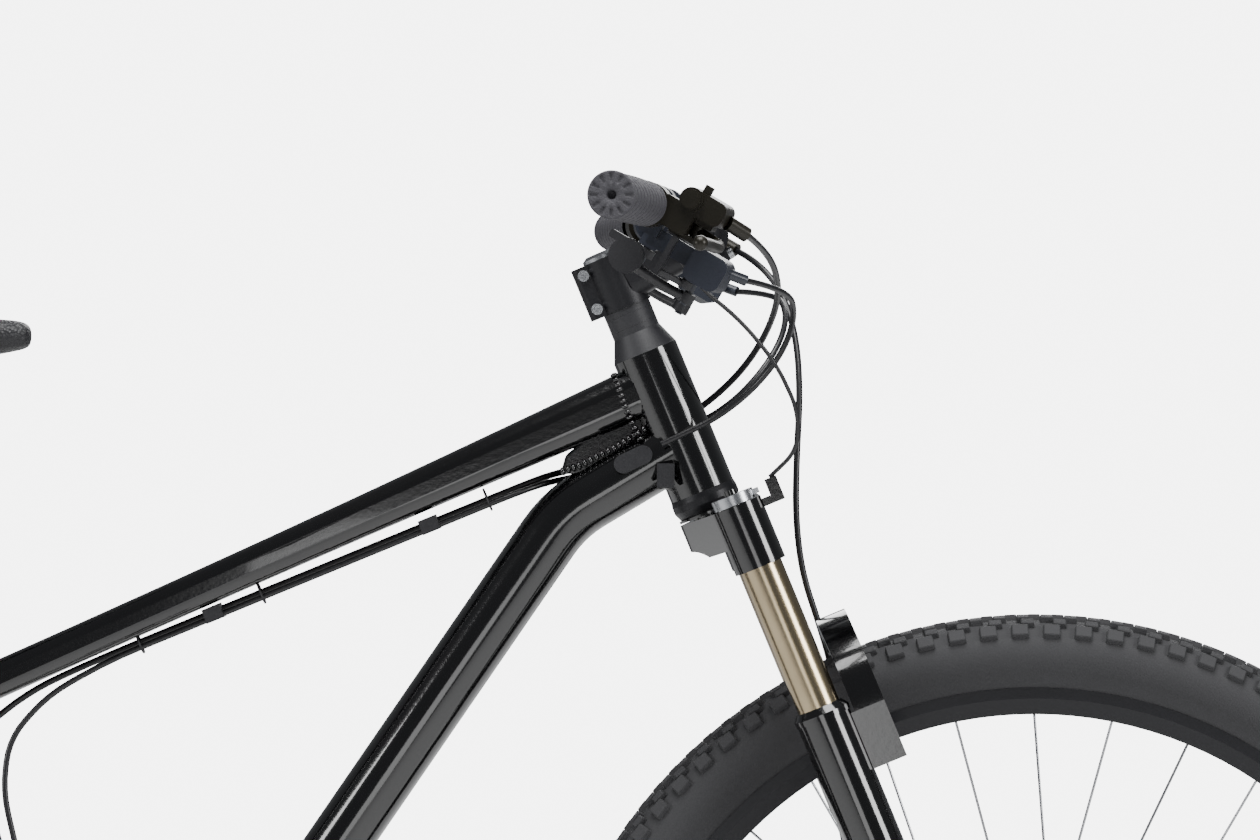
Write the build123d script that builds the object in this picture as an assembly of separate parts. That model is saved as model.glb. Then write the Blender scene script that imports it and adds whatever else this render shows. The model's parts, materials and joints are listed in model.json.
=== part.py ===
from build123d import *
import math
import os

# A hardtail mountain bike with 29 inch wheels, in mm. X points forward, Y to the rider's left
# and Z up. The origin is on the ground, midway between the axles, on the bike's mid-plane.

# Frame layout
wheelbase = 1147.0
tyre_radius = 371.0
bottom_bracket_drop = 60.0
chainstay_length = 445.0
head_angle = 67.55
seat_angle = 73.5
fork_length = 504.5
fork_offset = 51.0
fork_travel = 100.0
lower_cup_height = 17.0
head_tube_length = 110.8
seat_tube_length = 430.0

# Frame tubes
tube_wall = 1.8
head_tube_radius = 24.7
head_tube_bore = 20.0
seat_tube_radius = 17.5
down_tube_radius = 23.0
down_tube_angle = 55.5
top_tube_depth = 40.0
top_tube_waist = 28.0
top_tube_width = 36.0
bracket_shell_radius = 21.0
bracket_shell_width = 73.0
chainstay_radius = 8.5
seatstay_radius = 7.5
dropout_thickness = 6.0
rear_hub_width = 135.0
front_hub_width = 100.0

# Steering
steerer_radius = 14.3
spacer_radius = 18.0
cover_height = 16.4
spacer_heights = (5.0, 10.0, 5.0)
stem_clamp_height = 40.0
stem_length = 70.0
stem_rise = 7.0
bar_clamp_radius = 15.9
bar_radius = 11.1
bar_bore = 9.0
bar_half_width = 350.0
bar_sweep = 9.6
bar_rise = 15.0
grip_radius = 16.0
grip_length = 130.0
controls_y = 200.0
controls_tilt = 30.0

# Fork
stanchion_radius = 16.0
stanchion_spacing = 130.0
stanchion_lead = 18.0
stanchion_showing = 120.0
sleeve_radius = 19.5
sleeve_length = 48.0
lower_leg_radius = 20.5
slide_gap = 0.3

# Wheels and brakes
tyre_width = 56.0
tyre_wall = 3.0
rim_radius = 317.0
rim_depth = 20.0
rim_width = 26.0
spoke_radius = 1.0
spokes_a_side = 16
axle_radius = 5.0
bearing_gap = 0.05
rotor_radius = 80.0
rotor_thickness = 1.8
front_rotor_inset = 10.5
rear_rotor_inset = 15.0

# Drive
chain_pitch = 12.7
roller_radius = 3.85
roller_play = 0.25
ring_teeth = 36
small_ring_teeth = 24
cog_teeth = (36, 32, 28, 24, 21, 19, 17, 15, 13, 11)
cog_in_use = 6
cog_spacing = 3.95
first_cog_y = -27.5
pulley_teeth = 11
crank_length = 172.5
crank_half_width = 84.0
spindle_radius = 12.0
pulley_spacing = 94.0

# Seat
seatpost_radius = 15.8
seatpost_length = 350.0
saddle_top = 970.0
saddle_length = 275.0
saddle_width = 142.0
rail_radius = 3.5
rail_spacing = 44.0

os.makedirs("parts", exist_ok=True)


def sin(angle):
    return math.sin(math.radians(angle))


def cos(angle):
    return math.cos(math.radians(angle))


# Places that the driving sizes give
rear_x = -wheelbase / 2
front_x = wheelbase / 2
bracket_x = rear_x + math.sqrt(chainstay_length**2 - bottom_bracket_drop**2)
bracket_z = tyre_radius - bottom_bracket_drop
steer_up = Vector(-cos(head_angle), 0, sin(head_angle))
steer_ahead = Vector(sin(head_angle), 0, cos(head_angle))
front_axle = Vector(front_x, 0, tyre_radius)
rear_axle = Vector(rear_x, 0, tyre_radius)
crown_seat = front_axle - steer_ahead * fork_offset + steer_up * fork_length
steering = Plane(origin=crown_seat, x_dir=steer_ahead, z_dir=steer_up)
cup_top = lower_cup_height
head_top = cup_top + head_tube_length
stem_bottom = head_top + cover_height + sum(spacer_heights)
stem_top = stem_bottom + stem_clamp_height
bracket = Vector(bracket_x, 0, bracket_z)
seat_up = Vector(-cos(seat_angle), 0, sin(seat_angle))
seat_line = Plane(origin=bracket, x_dir=Vector(sin(seat_angle), 0, cos(seat_angle)), z_dir=seat_up)
seat_top = bracket + seat_up * seat_tube_length
chain_y = first_cog_y - cog_spacing * cog_in_use
small_ring_y = chain_y + 7.7


def on_steering(ahead, y, up):
    """A point given ahead of the steering axis, to the left of it and up along it."""
    return crown_seat + steer_ahead * ahead + Vector(0, y, 0) + steer_up * up


def bend_radii(route):
    """The radius at each corner of a route: large, but within the two runs that meet there."""
    radii = []
    for before, corner, after in zip(route, route[1:], route[2:]):
        first, second = corner - before, after - corner
        turn = math.radians(first.get_angle(second))
        radii.append(0.45 * min(first.length, second.length) / math.tan(turn / 2))
    return radii


def path_along(route, radii=None):
    route = [Vector(*p) for p in route]
    if len(route) == 2:
        return Line(*route)
    corners = bend_radii(route) if radii is None else radii
    return FilletPolyline(*route, radius=corners)


def pipe(route, radius, radii=None, bore=0.0):
    """A round tube along a route of straight runs joined by arcs."""
    path = path_along(route, radii)
    start = Plane(origin=path @ 0, z_dir=path % 0)
    tube = sweep(start * Circle(radius), path=path)
    return tube - sweep(start * Circle(bore), path=path) if bore else tube


def rod(start, end, radius, bore=0.0, end_radius=None):
    """A straight round bar or tube between two points, tapered when end_radius is given."""
    start, end = Vector(*start), Vector(*end)
    place = Plane(origin=start, z_dir=end - start)
    length = (end - start).length
    low = (Align.CENTER, Align.CENTER, Align.MIN)
    if end_radius is None:
        bar = Cylinder(radius, length, align=low)
    else:
        bar = Cone(radius, end_radius, length, align=low)
    return place * (bar - Cylinder(bore, length, align=low) if bore else bar)


def turned(*outline):
    """A solid of revolution about Z, from corners given as radius and height."""
    return revolve(Plane.XZ * make_face(Polyline(*outline, close=True)), Axis.Z)


def across(shape, x, z, y=0.0):
    """Stands a shape that was made about Z on an axis that points along Y."""
    return Plane(origin=(x, y, z), x_dir=(1, 0, 0), z_dir=(0, 1, 0)) * shape


def disc(centre, radius, y_from, y_to, bore=0.0):
    """A round plate or a ring on an axis along Y, between two values of Y."""
    low, high = min(y_from, y_to), max(y_from, y_to)
    return rod((centre.X, low, centre.Z), (centre.X, high, centre.Z), radius, bore)


def link_plate(first, second, r_first, r_second, y_from, y_to):
    """A flat bar with round ends about two axes along Y."""
    low, high = min(y_from, y_to), max(y_from, y_to)
    ends = Plane(origin=(0, low, 0), x_dir=(1, 0, 0), z_dir=(0, -1, 0))
    circles = [Pos(p.X, p.Z) * Circle(r).edge() for p, r in ((first, r_first), (second, r_second))]
    return extrude(ends * make_hull(circles), -(high - low))


def block(centre, size, radius=0.0):
    """A box with its upright edges rounded."""
    shape = Box(*size)
    if radius:
        shape = fillet(shape.edges().filter_by(Axis.Z), radius)
    return Pos(*centre) * shape


def mirrored(shape):
    return mirror(shape, about=Plane.XZ)


def both_sides(shape):
    return [shape, mirrored(shape)]


def save(node, *shapes):
    solids = [solid for shape in shapes for solid in shape.solids()]
    export_step(Compound(label=node, children=solids), f"parts/{node}.step")


# Main frame: five aluminium tubes, each cut to the tube that it is welded to

head_outer = steering * Pos(0, 0, cup_top) * Cylinder(
    head_tube_radius, head_tube_length, align=(Align.CENTER, Align.CENTER, Align.MIN)
)
head_tube = head_outer - steering * Pos(0, 0, cup_top) * Cylinder(
    head_tube_bore, head_tube_length, align=(Align.CENTER, Align.CENTER, Align.MIN)
)
seat_outer = rod(bracket, seat_top, seat_tube_radius)
shell_outer = disc(bracket, bracket_shell_radius, -bracket_shell_width / 2, bracket_shell_width / 2)
shell_bore = bracket_shell_radius - 4.0
bracket_shell = disc(
    bracket, bracket_shell_radius, -bracket_shell_width / 2, bracket_shell_width / 2, shell_bore
)
seat_tube = rod(bracket, seat_top, seat_tube_radius, seatpost_radius + bearing_gap) - shell_outer

down_along = Vector(cos(down_tube_angle), 0, sin(down_tube_angle))
down_knee = on_steering(-101.0, 0, 40.0)
down_root = down_knee - down_along * ((down_knee - bracket).dot(down_along))
down_route = [
    down_root,
    down_knee,
    on_steering(0, 0, 55.0),
]
down_bend = [95.0]
down_outer = pipe(down_route, down_tube_radius, down_bend)
down_tube = down_outer - pipe(down_route, down_tube_radius - tube_wall, down_bend)
down_tube = down_tube - head_outer - shell_outer - seat_outer

top_front = on_steering(0, 0, head_top - 25.0)
top_rear = bracket + seat_up * (seat_tube_length - 52.0)
top_waist = top_rear + (top_front - top_rear) * 0.42


def top_tube_body(inset):
    along = top_rear - top_front
    sections = []
    for centre, depth, width in (
        (top_front, top_tube_depth, top_tube_width),
        (top_waist, top_tube_waist, top_tube_width + 2.0),
        (top_rear, top_tube_waist, seat_tube_radius * 2 - 3.0),
    ):
        place = Plane(origin=centre, x_dir=(0, 1, 0), z_dir=along)
        width, depth = width - 2 * inset, depth - 2 * inset
        sections.append(place * RectangleRounded(width, depth, 0.36 * depth))
    return loft(sections)


top_outer = top_tube_body(0)
top_tube = top_outer - top_tube_body(tube_wall) - head_outer - seat_outer - down_outer
down_tube = down_tube.solids().sort_by(SortBy.VOLUME)[-1]
top_tube = top_tube.solids().sort_by(SortBy.VOLUME)[-1]
save("frame_main", head_tube, seat_tube, down_tube, top_tube, bracket_shell)

# Stays and dropouts, with two bridges

stay_end = rear_hub_width / 2 + dropout_thickness / 2
dropout_edge = rear_hub_width / 2
chainstay_route = [
    bracket + Vector(2, -16, 1),
    bracket + Vector(-72, -36, 6),
    bracket + Vector(-118, -47, 13),
    rear_axle + Vector(85, -dropout_edge + 1, -12),
    rear_axle + Vector(34, -stay_end - 1.5, -5),
]
seatstay_route = [
    seat_top - seat_up * 34 + Vector(0, -9, 0),
    seat_top - seat_up * 34 + Vector(-24, -33, -24),
    seat_top - seat_up * 34 + Vector(-62, -45, -62),
    rear_axle + Vector(62, -dropout_edge + 1, 66),
    rear_axle + Vector(23, -stay_end - 1.5, 25),
]
def link_outline(first, second, r_first, r_second):
    """The outline of a flat bar with round ends, drawn in X and Z."""
    return make_hull(
        [(Pos(p.X, p.Z) * Circle(r)).edge() for p, r in ((first, r_first), (second, r_second))]
    )


side_view = Plane(origin=(0, -dropout_edge, 0), x_dir=(1, 0, 0), z_dir=(0, -1, 0))
hanger_bolt = rear_axle + Vector(-8, 0, -28)
plate_outline = link_outline(rear_axle + Vector(24, 0, -5), rear_axle, 15, 17)
plate_outline += link_outline(rear_axle + Vector(17, 0, 19), rear_axle, 13, 17)
axle_slot = Pos(rear_axle.X, rear_axle.Z) * Circle(axle_radius)
axle_slot += Pos(rear_axle.X, rear_axle.Z - 15) * Rectangle(2 * axle_radius, 30)
hanger_outline = link_outline(rear_axle + Vector(-14, 0, -4), hanger_bolt, 8, 9)
hanger_hole = Pos(hanger_bolt.X, hanger_bolt.Z) * Circle(5.0)
dropout_plate = extrude(side_view * plate_outline, dropout_thickness)
dropout = extrude(side_view * (plate_outline - axle_slot), dropout_thickness)
hanger_side = extrude(
    side_view * (plate_outline + hanger_outline - axle_slot - hanger_hole), dropout_thickness
)
hanger_side = hanger_side.solids().sort_by(SortBy.VOLUME)[-1]
chainstay = pipe(chainstay_route, chainstay_radius) - shell_outer - dropout_plate
seatstay = pipe(seatstay_route, seatstay_radius) - seat_outer - dropout_plate
chainstay = chainstay.solids().sort_by(SortBy.VOLUME)[-1]
seatstay = seatstay.solids().sort_by(SortBy.VOLUME)[-1]
bridge_at = seat_top - seat_up * 34 + Vector(-44, 0, -44)
stay_pair = Compound(children=[chainstay, seatstay, mirrored(chainstay), mirrored(seatstay)])
seatstay_bridge = rod(bridge_at + Vector(0, -45, 0), bridge_at + Vector(0, 45, 0), 6) - stay_pair
yoke_at = bracket + Vector(-56, 0, 4.5)
chainstay_bridge = rod(yoke_at + Vector(0, -32, 0), yoke_at + Vector(0, 32, 0), 6) - stay_pair
save(
    "frame_stays",
    *both_sides(chainstay),
    *both_sides(seatstay),
    hanger_side,
    mirrored(dropout),
    seatstay_bridge.solids().sort_by(Axis.Y)[len(seatstay_bridge.solids()) // 2],
    chainstay_bridge.solids().sort_by(Axis.Y)[len(chainstay_bridge.solids()) // 2],
)

# Headset: the lower cup and race are outside the head tube, the upper bearing inside its top

lower_cup = turned(
    (steerer_radius + 3, 2), (23, 2), (25.5, 8), (25.5, 13), (head_tube_radius, cup_top),
    (steerer_radius + 3, cup_top),
)
crown_race = turned((steerer_radius, 0), (24.5, 0), (24.5, 1.8), (steerer_radius, 1.8))
upper_bearing = turned(
    (steerer_radius + 0.4, head_top - 9), (head_tube_bore - 0.05, head_top - 9),
    (head_tube_bore - 0.05, head_top - 0.2), (steerer_radius + 0.4, head_top - 0.2),
)
lower_bearing = turned(
    (steerer_radius + 0.4, cup_top + 0.2), (head_tube_bore - 0.05, cup_top + 0.2),
    (head_tube_bore - 0.05, cup_top + 8), (steerer_radius + 0.4, cup_top + 8),
)
save("headset", steering * lower_cup, steering * upper_bearing, steering * lower_bearing)

# Fork crown with its steerer, and the stanchions pressed into its sleeves

sleeve_top = -1.0
sleeve_bottom = sleeve_top - sleeve_length
leg_y = stanchion_spacing / 2
crown_outline = make_hull(
    [
        Circle(25).edge(),
        (Pos(stanchion_lead, -leg_y) * Circle(sleeve_radius)).edge(),
        (Pos(stanchion_lead, leg_y) * Circle(sleeve_radius)).edge(),
    ]
)
crown_plate = Pos(0, 0, -30) * extrude(crown_outline, 29)
tyre_arch = Pos(10, 0, -100) * Rot(0, 90, 0) * Cylinder(78, 120)
crown_body = crown_plate - tyre_arch
lowest = (Align.CENTER, Align.CENTER, Align.MIN)
for side in (-1, 1):
    crown_body += Pos(stanchion_lead, side * leg_y, sleeve_bottom) * Cylinder(
        sleeve_radius, sleeve_length, align=lowest
    )
crown_body += Pos(0, 0, -20) * Cylinder(steerer_radius, stem_top - 3 + 20, align=lowest)
crown_body -= Pos(0, 0, -21) * Cylinder(steerer_radius - 2, stem_top + 30, align=lowest)
for side in (-1, 1):
    crown_body -= Pos(stanchion_lead, side * leg_y, sleeve_bottom - 1) * Cylinder(
        stanchion_radius, sleeve_length - 5, align=lowest
    )

seal_z = sleeve_bottom - stanchion_showing
stanchion_end = seal_z - fork_travel - 32.0
stanchion_top = sleeve_top - 6
stanchion = Pos(stanchion_lead, -leg_y, stanchion_end) * (
    Cylinder(stanchion_radius, stanchion_top - stanchion_end, align=lowest)
    - Cylinder(stanchion_radius - 2, stanchion_top - stanchion_end, align=lowest)
)
save("stanchions", *both_sides(steering * stanchion))

# Lower legs, cast in one with their arch and dropouts

axle_up = -fork_length
leg_bottom = axle_up + 22
leg_bore = stanchion_radius + slide_gap
front_dropout_y = front_hub_width / 2
leg = Pos(stanchion_lead, -leg_y, leg_bottom) * Cylinder(
    lower_leg_radius, seal_z - leg_bottom, align=lowest
)
lug_outline = make_hull(
    [
        (Pos(stanchion_lead, leg_bottom + 26) * Circle(17)).edge(),
        (Pos(fork_offset, axle_up) * Circle(15)).edge(),
    ]
)
lug_plane = Plane(origin=(0, -front_dropout_y, 0), x_dir=(1, 0, 0), z_dir=(0, -1, 0))
leg += extrude(lug_plane * lug_outline, 13)
arch_inner, arch_outer, arch_front, arch_back = 55.0, 70.0, 64.0, 41.0
arch_centre = seal_z - 5.0
arch = Rot(0, 90, 0) * Cylinder(arch_outer, arch_front - arch_back)
arch -= Rot(0, 90, 0) * Cylinder(arch_inner, arch_front - arch_back + 2)
arch = Pos((arch_front + arch_back) / 2, 0, arch_centre) * arch
arch -= Pos(arch_back, 0, arch_centre - 100) * Box(100, 200, 200)
foot = block(
    ((arch_front + stanchion_lead) / 2, -leg_y + 2, arch_centre - 21),
    (arch_front - stanchion_lead, 15, 44),
)
lowers = leg + mirrored(leg) + arch + foot + mirrored(foot)
bore_depth = seal_z - stanchion_end + fork_travel + 6
for side in (-1, 1):
    lowers -= Pos(stanchion_lead, side * leg_y, seal_z - bore_depth) * Cylinder(
        leg_bore, bore_depth + 1, align=lowest
    )
lowers -= Pos(fork_offset, 0, axle_up) * Rot(90, 0, 0) * Cylinder(axle_radius, 200)
caliper_tab = block((-13, leg_y - 12, axle_up + 66), (22, 11, 12))
lowers += caliper_tab + Pos(0, 0, -34) * caliper_tab
seal = turned(
    (stanchion_radius + bearing_gap, seal_z), (lower_leg_radius + 0.8, seal_z),
    (lower_leg_radius + 0.8, seal_z + 4), (stanchion_radius + 1.5, seal_z + 9),
    (stanchion_radius + bearing_gap, seal_z + 9),
)
save(
    "fork_lowers",
    steering * lowers,
    *both_sides(steering * Pos(stanchion_lead, -leg_y, 0) * seal),
)

# Quick-release skewers: the axle, its nuts, and the lever that clamps it


def skewer(axle, half_width, reach):
    """A hollow axle between the dropouts with the rod's nut on the drive side."""
    bar = disc(axle, axle_radius, -half_width - 5, half_width + 5)
    nut = disc(axle, 9, -reach, -reach - 12)
    shank = disc(axle, 2.5, -reach, -half_width - 5)
    cam = disc(axle, 8, reach, reach + 9)
    stub = disc(axle, 2.5, half_width + 5, reach)
    return bar + nut + shank + cam + stub


def skewer_lever(axle, reach, up):
    """A curved lever on the left side that swings about the skewer's cam pin, along X."""
    hinge = axle + Vector(0, reach + 14.5, 0)
    arm = pipe(
        [hinge + Vector(0, 4, 0), hinge + Vector(0, 9, up * 14), hinge + Vector(0, 6, up * 58)],
        4.0,
    )
    eye = rod(hinge - Vector(7, 0, 0), hinge + Vector(7, 0, 0), 5.0, 2.6)
    ring = arm - rod(hinge - Vector(9, 0, 0), hinge + Vector(9, 0, 0), 5.0)
    return (ring + eye).solids().sort_by(SortBy.VOLUME)[-1]


def cam_pin(axle, reach):
    """Two ears outside the cam with the pin that the lever turns on."""
    hinge = axle + Vector(0, reach + 14.5, 0)
    pin = rod(hinge - Vector(12, 0, 0), hinge + Vector(12, 0, 0), 2.55)
    ears = [
        Pos(hinge.X + side * 9.8, hinge.Y - 3, hinge.Z) * Box(4, 12, 9) for side in (-1, 1)
    ]
    base = Pos(hinge.X, hinge.Y - 7.2, hinge.Z) * Box(23.6, 4, 12)
    return pin + ears[0] + ears[1] + base


front_reach = front_hub_width / 2 + 13.2
rear_reach = stay_end + dropout_thickness / 2 + 0.2
save("front_axle", skewer(front_axle, front_hub_width / 2, front_reach) + cam_pin(front_axle, front_reach))
save("rear_axle", skewer(rear_axle, rear_hub_width / 2, rear_reach) + cam_pin(rear_axle, rear_reach))
save("front_qr_lever", skewer_lever(front_axle, front_reach, 1))
save("rear_qr_lever", skewer_lever(rear_axle, rear_reach, 1))

# Wheels, made about their own axis and then stood on the axles

half_tyre = tyre_width / 2
crown_r = tyre_radius - half_tyre
bead_half = rim_width / 2 - 2.4
tyre_face = Pos(crown_r, 0) * (Circle(half_tyre) - Circle(half_tyre - tyre_wall))
tyre_face -= Pos(rim_radius + 0.4 - 50, 0) * Rectangle(100, 2 * tyre_width)
bead_foot = Polyline(
    (rim_radius + 0.6, bead_half - 1), (rim_radius + 4, bead_half + 9), (rim_radius + 8, bead_half + 7),
    (rim_radius + 2, bead_half - 5), (rim_radius - 6, bead_half - 5), (rim_radius - 6, bead_half - 0.4),
    (rim_radius - 0.5, bead_half - 0.4), close=True,
)
tyre_face += make_face(bead_foot)
tyre_face += mirror(make_face(bead_foot), about=Plane.XZ)
tyre = revolve(Plane.XZ * tyre_face, Axis.Z)
rim_floor = rim_radius - rim_depth
rim = turned(
    (rim_floor, -6), (rim_radius - 8, -rim_width / 2), (rim_radius, -rim_width / 2),
    (rim_radius, -rim_width / 2 + 2), (rim_radius - 8, -rim_width / 2 + 2.2),
    (rim_floor + 3, -5), (rim_floor + 3, 5),
    (rim_radius - 8, rim_width / 2 - 2.2), (rim_radius, rim_width / 2 - 2),
    (rim_radius, rim_width / 2), (rim_radius - 8, rim_width / 2), (rim_floor, 6),
)


def wheel(axle, prefix, left_flange, right_flange, shell, ends):
    """Saves a wheel's tyre, rim, spokes and hub. Flanges and ends are given as values of Y."""
    save(f"{prefix}_tyre", across(tyre, axle.X, axle.Z))
    save(f"{prefix}_rim", across(rim, axle.X, axle.Z))
    flange_radius, flange_half = 24.0, 1.5
    hub = disc(axle, shell, ends[0], ends[1])
    for y in (left_flange, right_flange):
        hub += disc(axle, flange_radius, y - flange_half, y + flange_half)
    save(f"{prefix}_hub", hub - disc(axle, axle_radius + bearing_gap, ends[0] - 1, ends[1] + 1))
    spokes = []
    for flange in (left_flange, right_flange):
        for i in range(spokes_a_side):
            trailing = 1 if i % 2 else -1
            at_rim = 360 / spokes_a_side * (i + (0.5 if flange == left_flange else 0))
            at_hub = at_rim + trailing * 66
            side = flange + trailing * (flange_half + spoke_radius + 0.05)
            hole = flange_radius - 3
            start = axle + Vector(hole * cos(at_hub), side, hole * sin(at_hub))
            reach = rim_floor - 0.1
            end = axle + Vector(reach * cos(at_rim), math.copysign(2.0, flange), reach * sin(at_rim))
            spokes.append(rod(start, end, spoke_radius))
    save(f"{prefix}_spokes", *spokes)


def rotor(axle, y):
    """A brake disc: a braking ring, six curved arms and a carrier with its bolts' circle."""
    half = rotor_thickness / 2
    plate = disc(axle, rotor_radius, y - half, y + half, rotor_radius - 14)
    for i in range(6):
        inner, outer = 60 * i, 60 * i + 38
        start = axle + Vector(20 * cos(inner), 0, 20 * sin(inner))
        end = axle + Vector((rotor_radius - 12) * cos(outer), 0, (rotor_radius - 12) * sin(outer))
        plate += link_plate(start, end, 5, 4, y - half, y + half)
    plate += disc(axle, 26, y - half, y + half)
    return plate - disc(axle, 17.55, y - 5, y + 5)


front_rotor_y = front_hub_width / 2 - front_rotor_inset
rear_rotor_y = rear_hub_width / 2 - rear_rotor_inset
wheel(front_axle, "front", 20.0, -34.0, 15.0, (-46.0, 46.0))
wheel(rear_axle, "rear", 32.0, -18.0, 17.0, (-25.0, 64.0))
front_rotor = rotor(front_axle, front_rotor_y) + disc(
    front_axle, 19.5, front_rotor_y - rotor_thickness / 2, front_rotor_y + rotor_thickness / 2, 15.05
)
save("front_rotor", front_rotor)
save("rear_rotor", rotor(rear_axle, rear_rotor_y) )

# Disc brake callipers, each with a slot round its rotor


def calliper(axle, y, angle, reach=rotor_radius - 6.0):
    """A two-piston calliper whose slot straddles the rotor at an angle round the axle."""
    centre = axle + Vector(reach * cos(angle), y, reach * sin(angle))
    place = Plane(origin=centre, x_dir=(cos(angle), 0, sin(angle)), z_dir=(0, -1, 0))
    body = fillet(Box(30, 52, 30).edges().filter_by(Axis.Z), 7)
    body -= Pos(-6, 0, 0) * Box(30, 60, 4.4)
    ports = Pos(4, 0, 15) * Cylinder(9, 3, align=lowest)
    return place * (body + ports)


front_calliper_angle = 154.0
rear_calliper_angle = 18.0
front_calliper = calliper(front_axle, front_rotor_y, front_calliper_angle)
rear_calliper = calliper(rear_axle, rear_rotor_y, rear_calliper_angle)
save("front_caliper", front_calliper - steering * lowers)
rear_post = link_plate(
    rear_axle + Vector(70, 0, 52), rear_axle + Vector(84, 0, 34), 6, 6, rear_rotor_y + 6, rear_rotor_y + 12
)
rear_calliper = rear_calliper + rear_post - mirrored(seatstay) - mirrored(chainstay)
save("rear_caliper", rear_calliper.solids().sort_by(SortBy.VOLUME)[-1])

# Bottom bracket cups and bearings, round the crank spindle

cup_width = 6.0
shell_end = bracket_shell_width / 2
cup = disc(bracket, 20.0, -shell_end, -shell_end - cup_width, spindle_radius + bearing_gap)
sleeve = disc(bracket, shell_bore - 0.05, -shell_end, -shell_end + 12, spindle_radius + bearing_gap)
save("bottom_bracket", *both_sides(cup + sleeve))

# Chain line: sprockets are circles of their pitch radius, and the chain follows their tangents


def pitch_radius(teeth):
    return chain_pitch / (2 * math.sin(math.pi / teeth))


def sprocket(teeth, thickness, bore, phase):
    """A toothed plate about Z. Rollers sit half a tooth each side of the tooth at the phase angle."""
    radius, step = pitch_radius(teeth), 360 / teeth
    corners = []
    for i in range(teeth):
        tooth = phase + i * step
        for offset, share in (
            (-4.1, -0.42), (-2.9, -0.29), (0.2, -0.165), (3.2, -0.07),
            (3.2, 0.07), (0.2, 0.165), (-2.9, 0.29), (-4.1, 0.42),
        ):
            angle = tooth + share * step
            corners.append(((radius + offset) * cos(angle), (radius + offset) * sin(angle)))
    plate = extrude(make_face(Polyline(*corners, close=True)), thickness)
    return Pos(0, 0, -thickness / 2) * (plate - Cylinder(bore, 4 * thickness))


ring_radius = pitch_radius(ring_teeth)
cog_radius = pitch_radius(cog_teeth[cog_in_use])
pulley_radius = pitch_radius(pulley_teeth)
cage_pivot = rear_axle + Vector(10, 0, -74)
guide_at = cage_pivot + Vector(9, 0, -9)


def chain_wheels(cage_angle):
    """Centre, pitch radius and turning sense of each wheel, in the order that the chain runs."""
    tension_at = guide_at + Vector(pulley_spacing * sin(cage_angle), 0, -pulley_spacing * cos(cage_angle))
    return [
        (bracket, ring_radius, 1),
        (tension_at, pulley_radius, 1),
        (guide_at, pulley_radius, -1),
        (rear_axle, cog_radius, 1),
    ]


def chain_stretches(cage_angle):
    """Arcs and straight runs of the chain: each is a kind, its length and what places it."""
    wheels = chain_wheels(cage_angle)
    headings = []
    for a, b in zip(wheels, wheels[1:] + wheels[:1]):
        gap = b[0] - a[0]
        offset = (b[2] * b[1] - a[2] * a[1]) / math.hypot(gap.X, gap.Z)
        headings.append(math.atan2(gap.Z, gap.X) + math.asin(offset))
    stretches = []
    for i, (centre, radius, sense) in enumerate(wheels):
        arrive, leave = headings[i - 1], headings[i]
        turn = (sense * (arrive - leave)) % (2 * math.pi)
        stretches.append(("arc", radius * turn, (centre, radius, sense, arrive)))
        following = wheels[(i + 1) % len(wheels)]
        gap = following[0] - centre
        run = math.sqrt(gap.X**2 + gap.Z**2 - (following[2] * following[1] - sense * radius) ** 2)
        off = centre + Vector(-math.sin(leave), 0, math.cos(leave)) * sense * radius
        stretches.append(("run", run, (off, leave)))
    return stretches


def chain_point(stretches, distance):
    distance %= sum(length for _, length, _ in stretches)
    for kind, length, place in stretches:
        if distance <= length:
            break
        distance -= length
    if kind == "run":
        start, heading = place
        return start + Vector(math.cos(heading), 0, math.sin(heading)) * distance
    centre, radius, sense, arrive = place
    heading = arrive - sense * distance / radius
    return centre + Vector(-math.sin(heading), 0, math.cos(heading)) * sense * radius


def chain_pins(cage_angle, links):
    """Pin places one pitch apart, and how far the last one ends from the first."""
    stretches = chain_stretches(cage_angle)
    total = sum(length for _, length, _ in stretches)
    distance, pins = stretches[0][1] / 2, []
    start = distance
    for _ in range(links):
        here = chain_point(stretches, distance)
        pins.append(here)
        low, high = distance + 0.97 * chain_pitch, distance + 1.03 * chain_pitch
        for _ in range(40):
            middle = (low + high) / 2
            if (chain_point(stretches, middle) - here).length < chain_pitch:
                low = middle
            else:
                high = middle
        distance = (low + high) / 2
    return pins, distance - start - total


def closed_chain():
    """The cage angle and the even number of links at which the chain closes on itself."""
    loose = sum(length for _, length, _ in chain_stretches(18.0))
    links = 2 * round(loose / chain_pitch / 2)
    low, high = -30.0, 65.0
    for _ in range(40):
        middle = (low + high) / 2
        if chain_pins(middle, links)[1] > 0:
            high = middle
        else:
            low = middle
    return middle, links


cage_angle, link_count = closed_chain()
pins, closing_error = chain_pins(cage_angle, link_count)
print(f"chain: {link_count} links, cage angle {cage_angle:.2f} degrees, closes to {closing_error:.4f} mm")
tension_at = chain_wheels(cage_angle)[1][0]


def tooth_phase(centre, radius, teeth):
    """The angle of a tooth about the wheel, midway between two of the pins that lie on it."""
    on_wheel = [p for p in pins if abs((p - centre).length - radius) < 0.01]
    middle = on_wheel[len(on_wheel) // 2] - centre
    return math.degrees(math.atan2(middle.Z, middle.X)) + 180 / teeth


def wheel_plate(centre, teeth, thickness, bore, y):
    """A sprocket in its place, with its teeth in step with the chain."""
    radius = pitch_radius(teeth)
    on_chain = [p for p in pins if abs((p - centre).length - radius) < 0.01]
    phase = tooth_phase(centre, radius, teeth) if len(on_chain) > 1 else 0.0
    return Plane(origin=(centre.X, y + 0.0, centre.Z), x_dir=(1, 0, 0), z_dir=(0, -1, 0)) * sprocket(
        teeth, thickness, bore, phase
    )


plate_radius, plate_thickness = 4.2, 0.8
inner_half, outer_half = 1.1, 2.0


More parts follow.
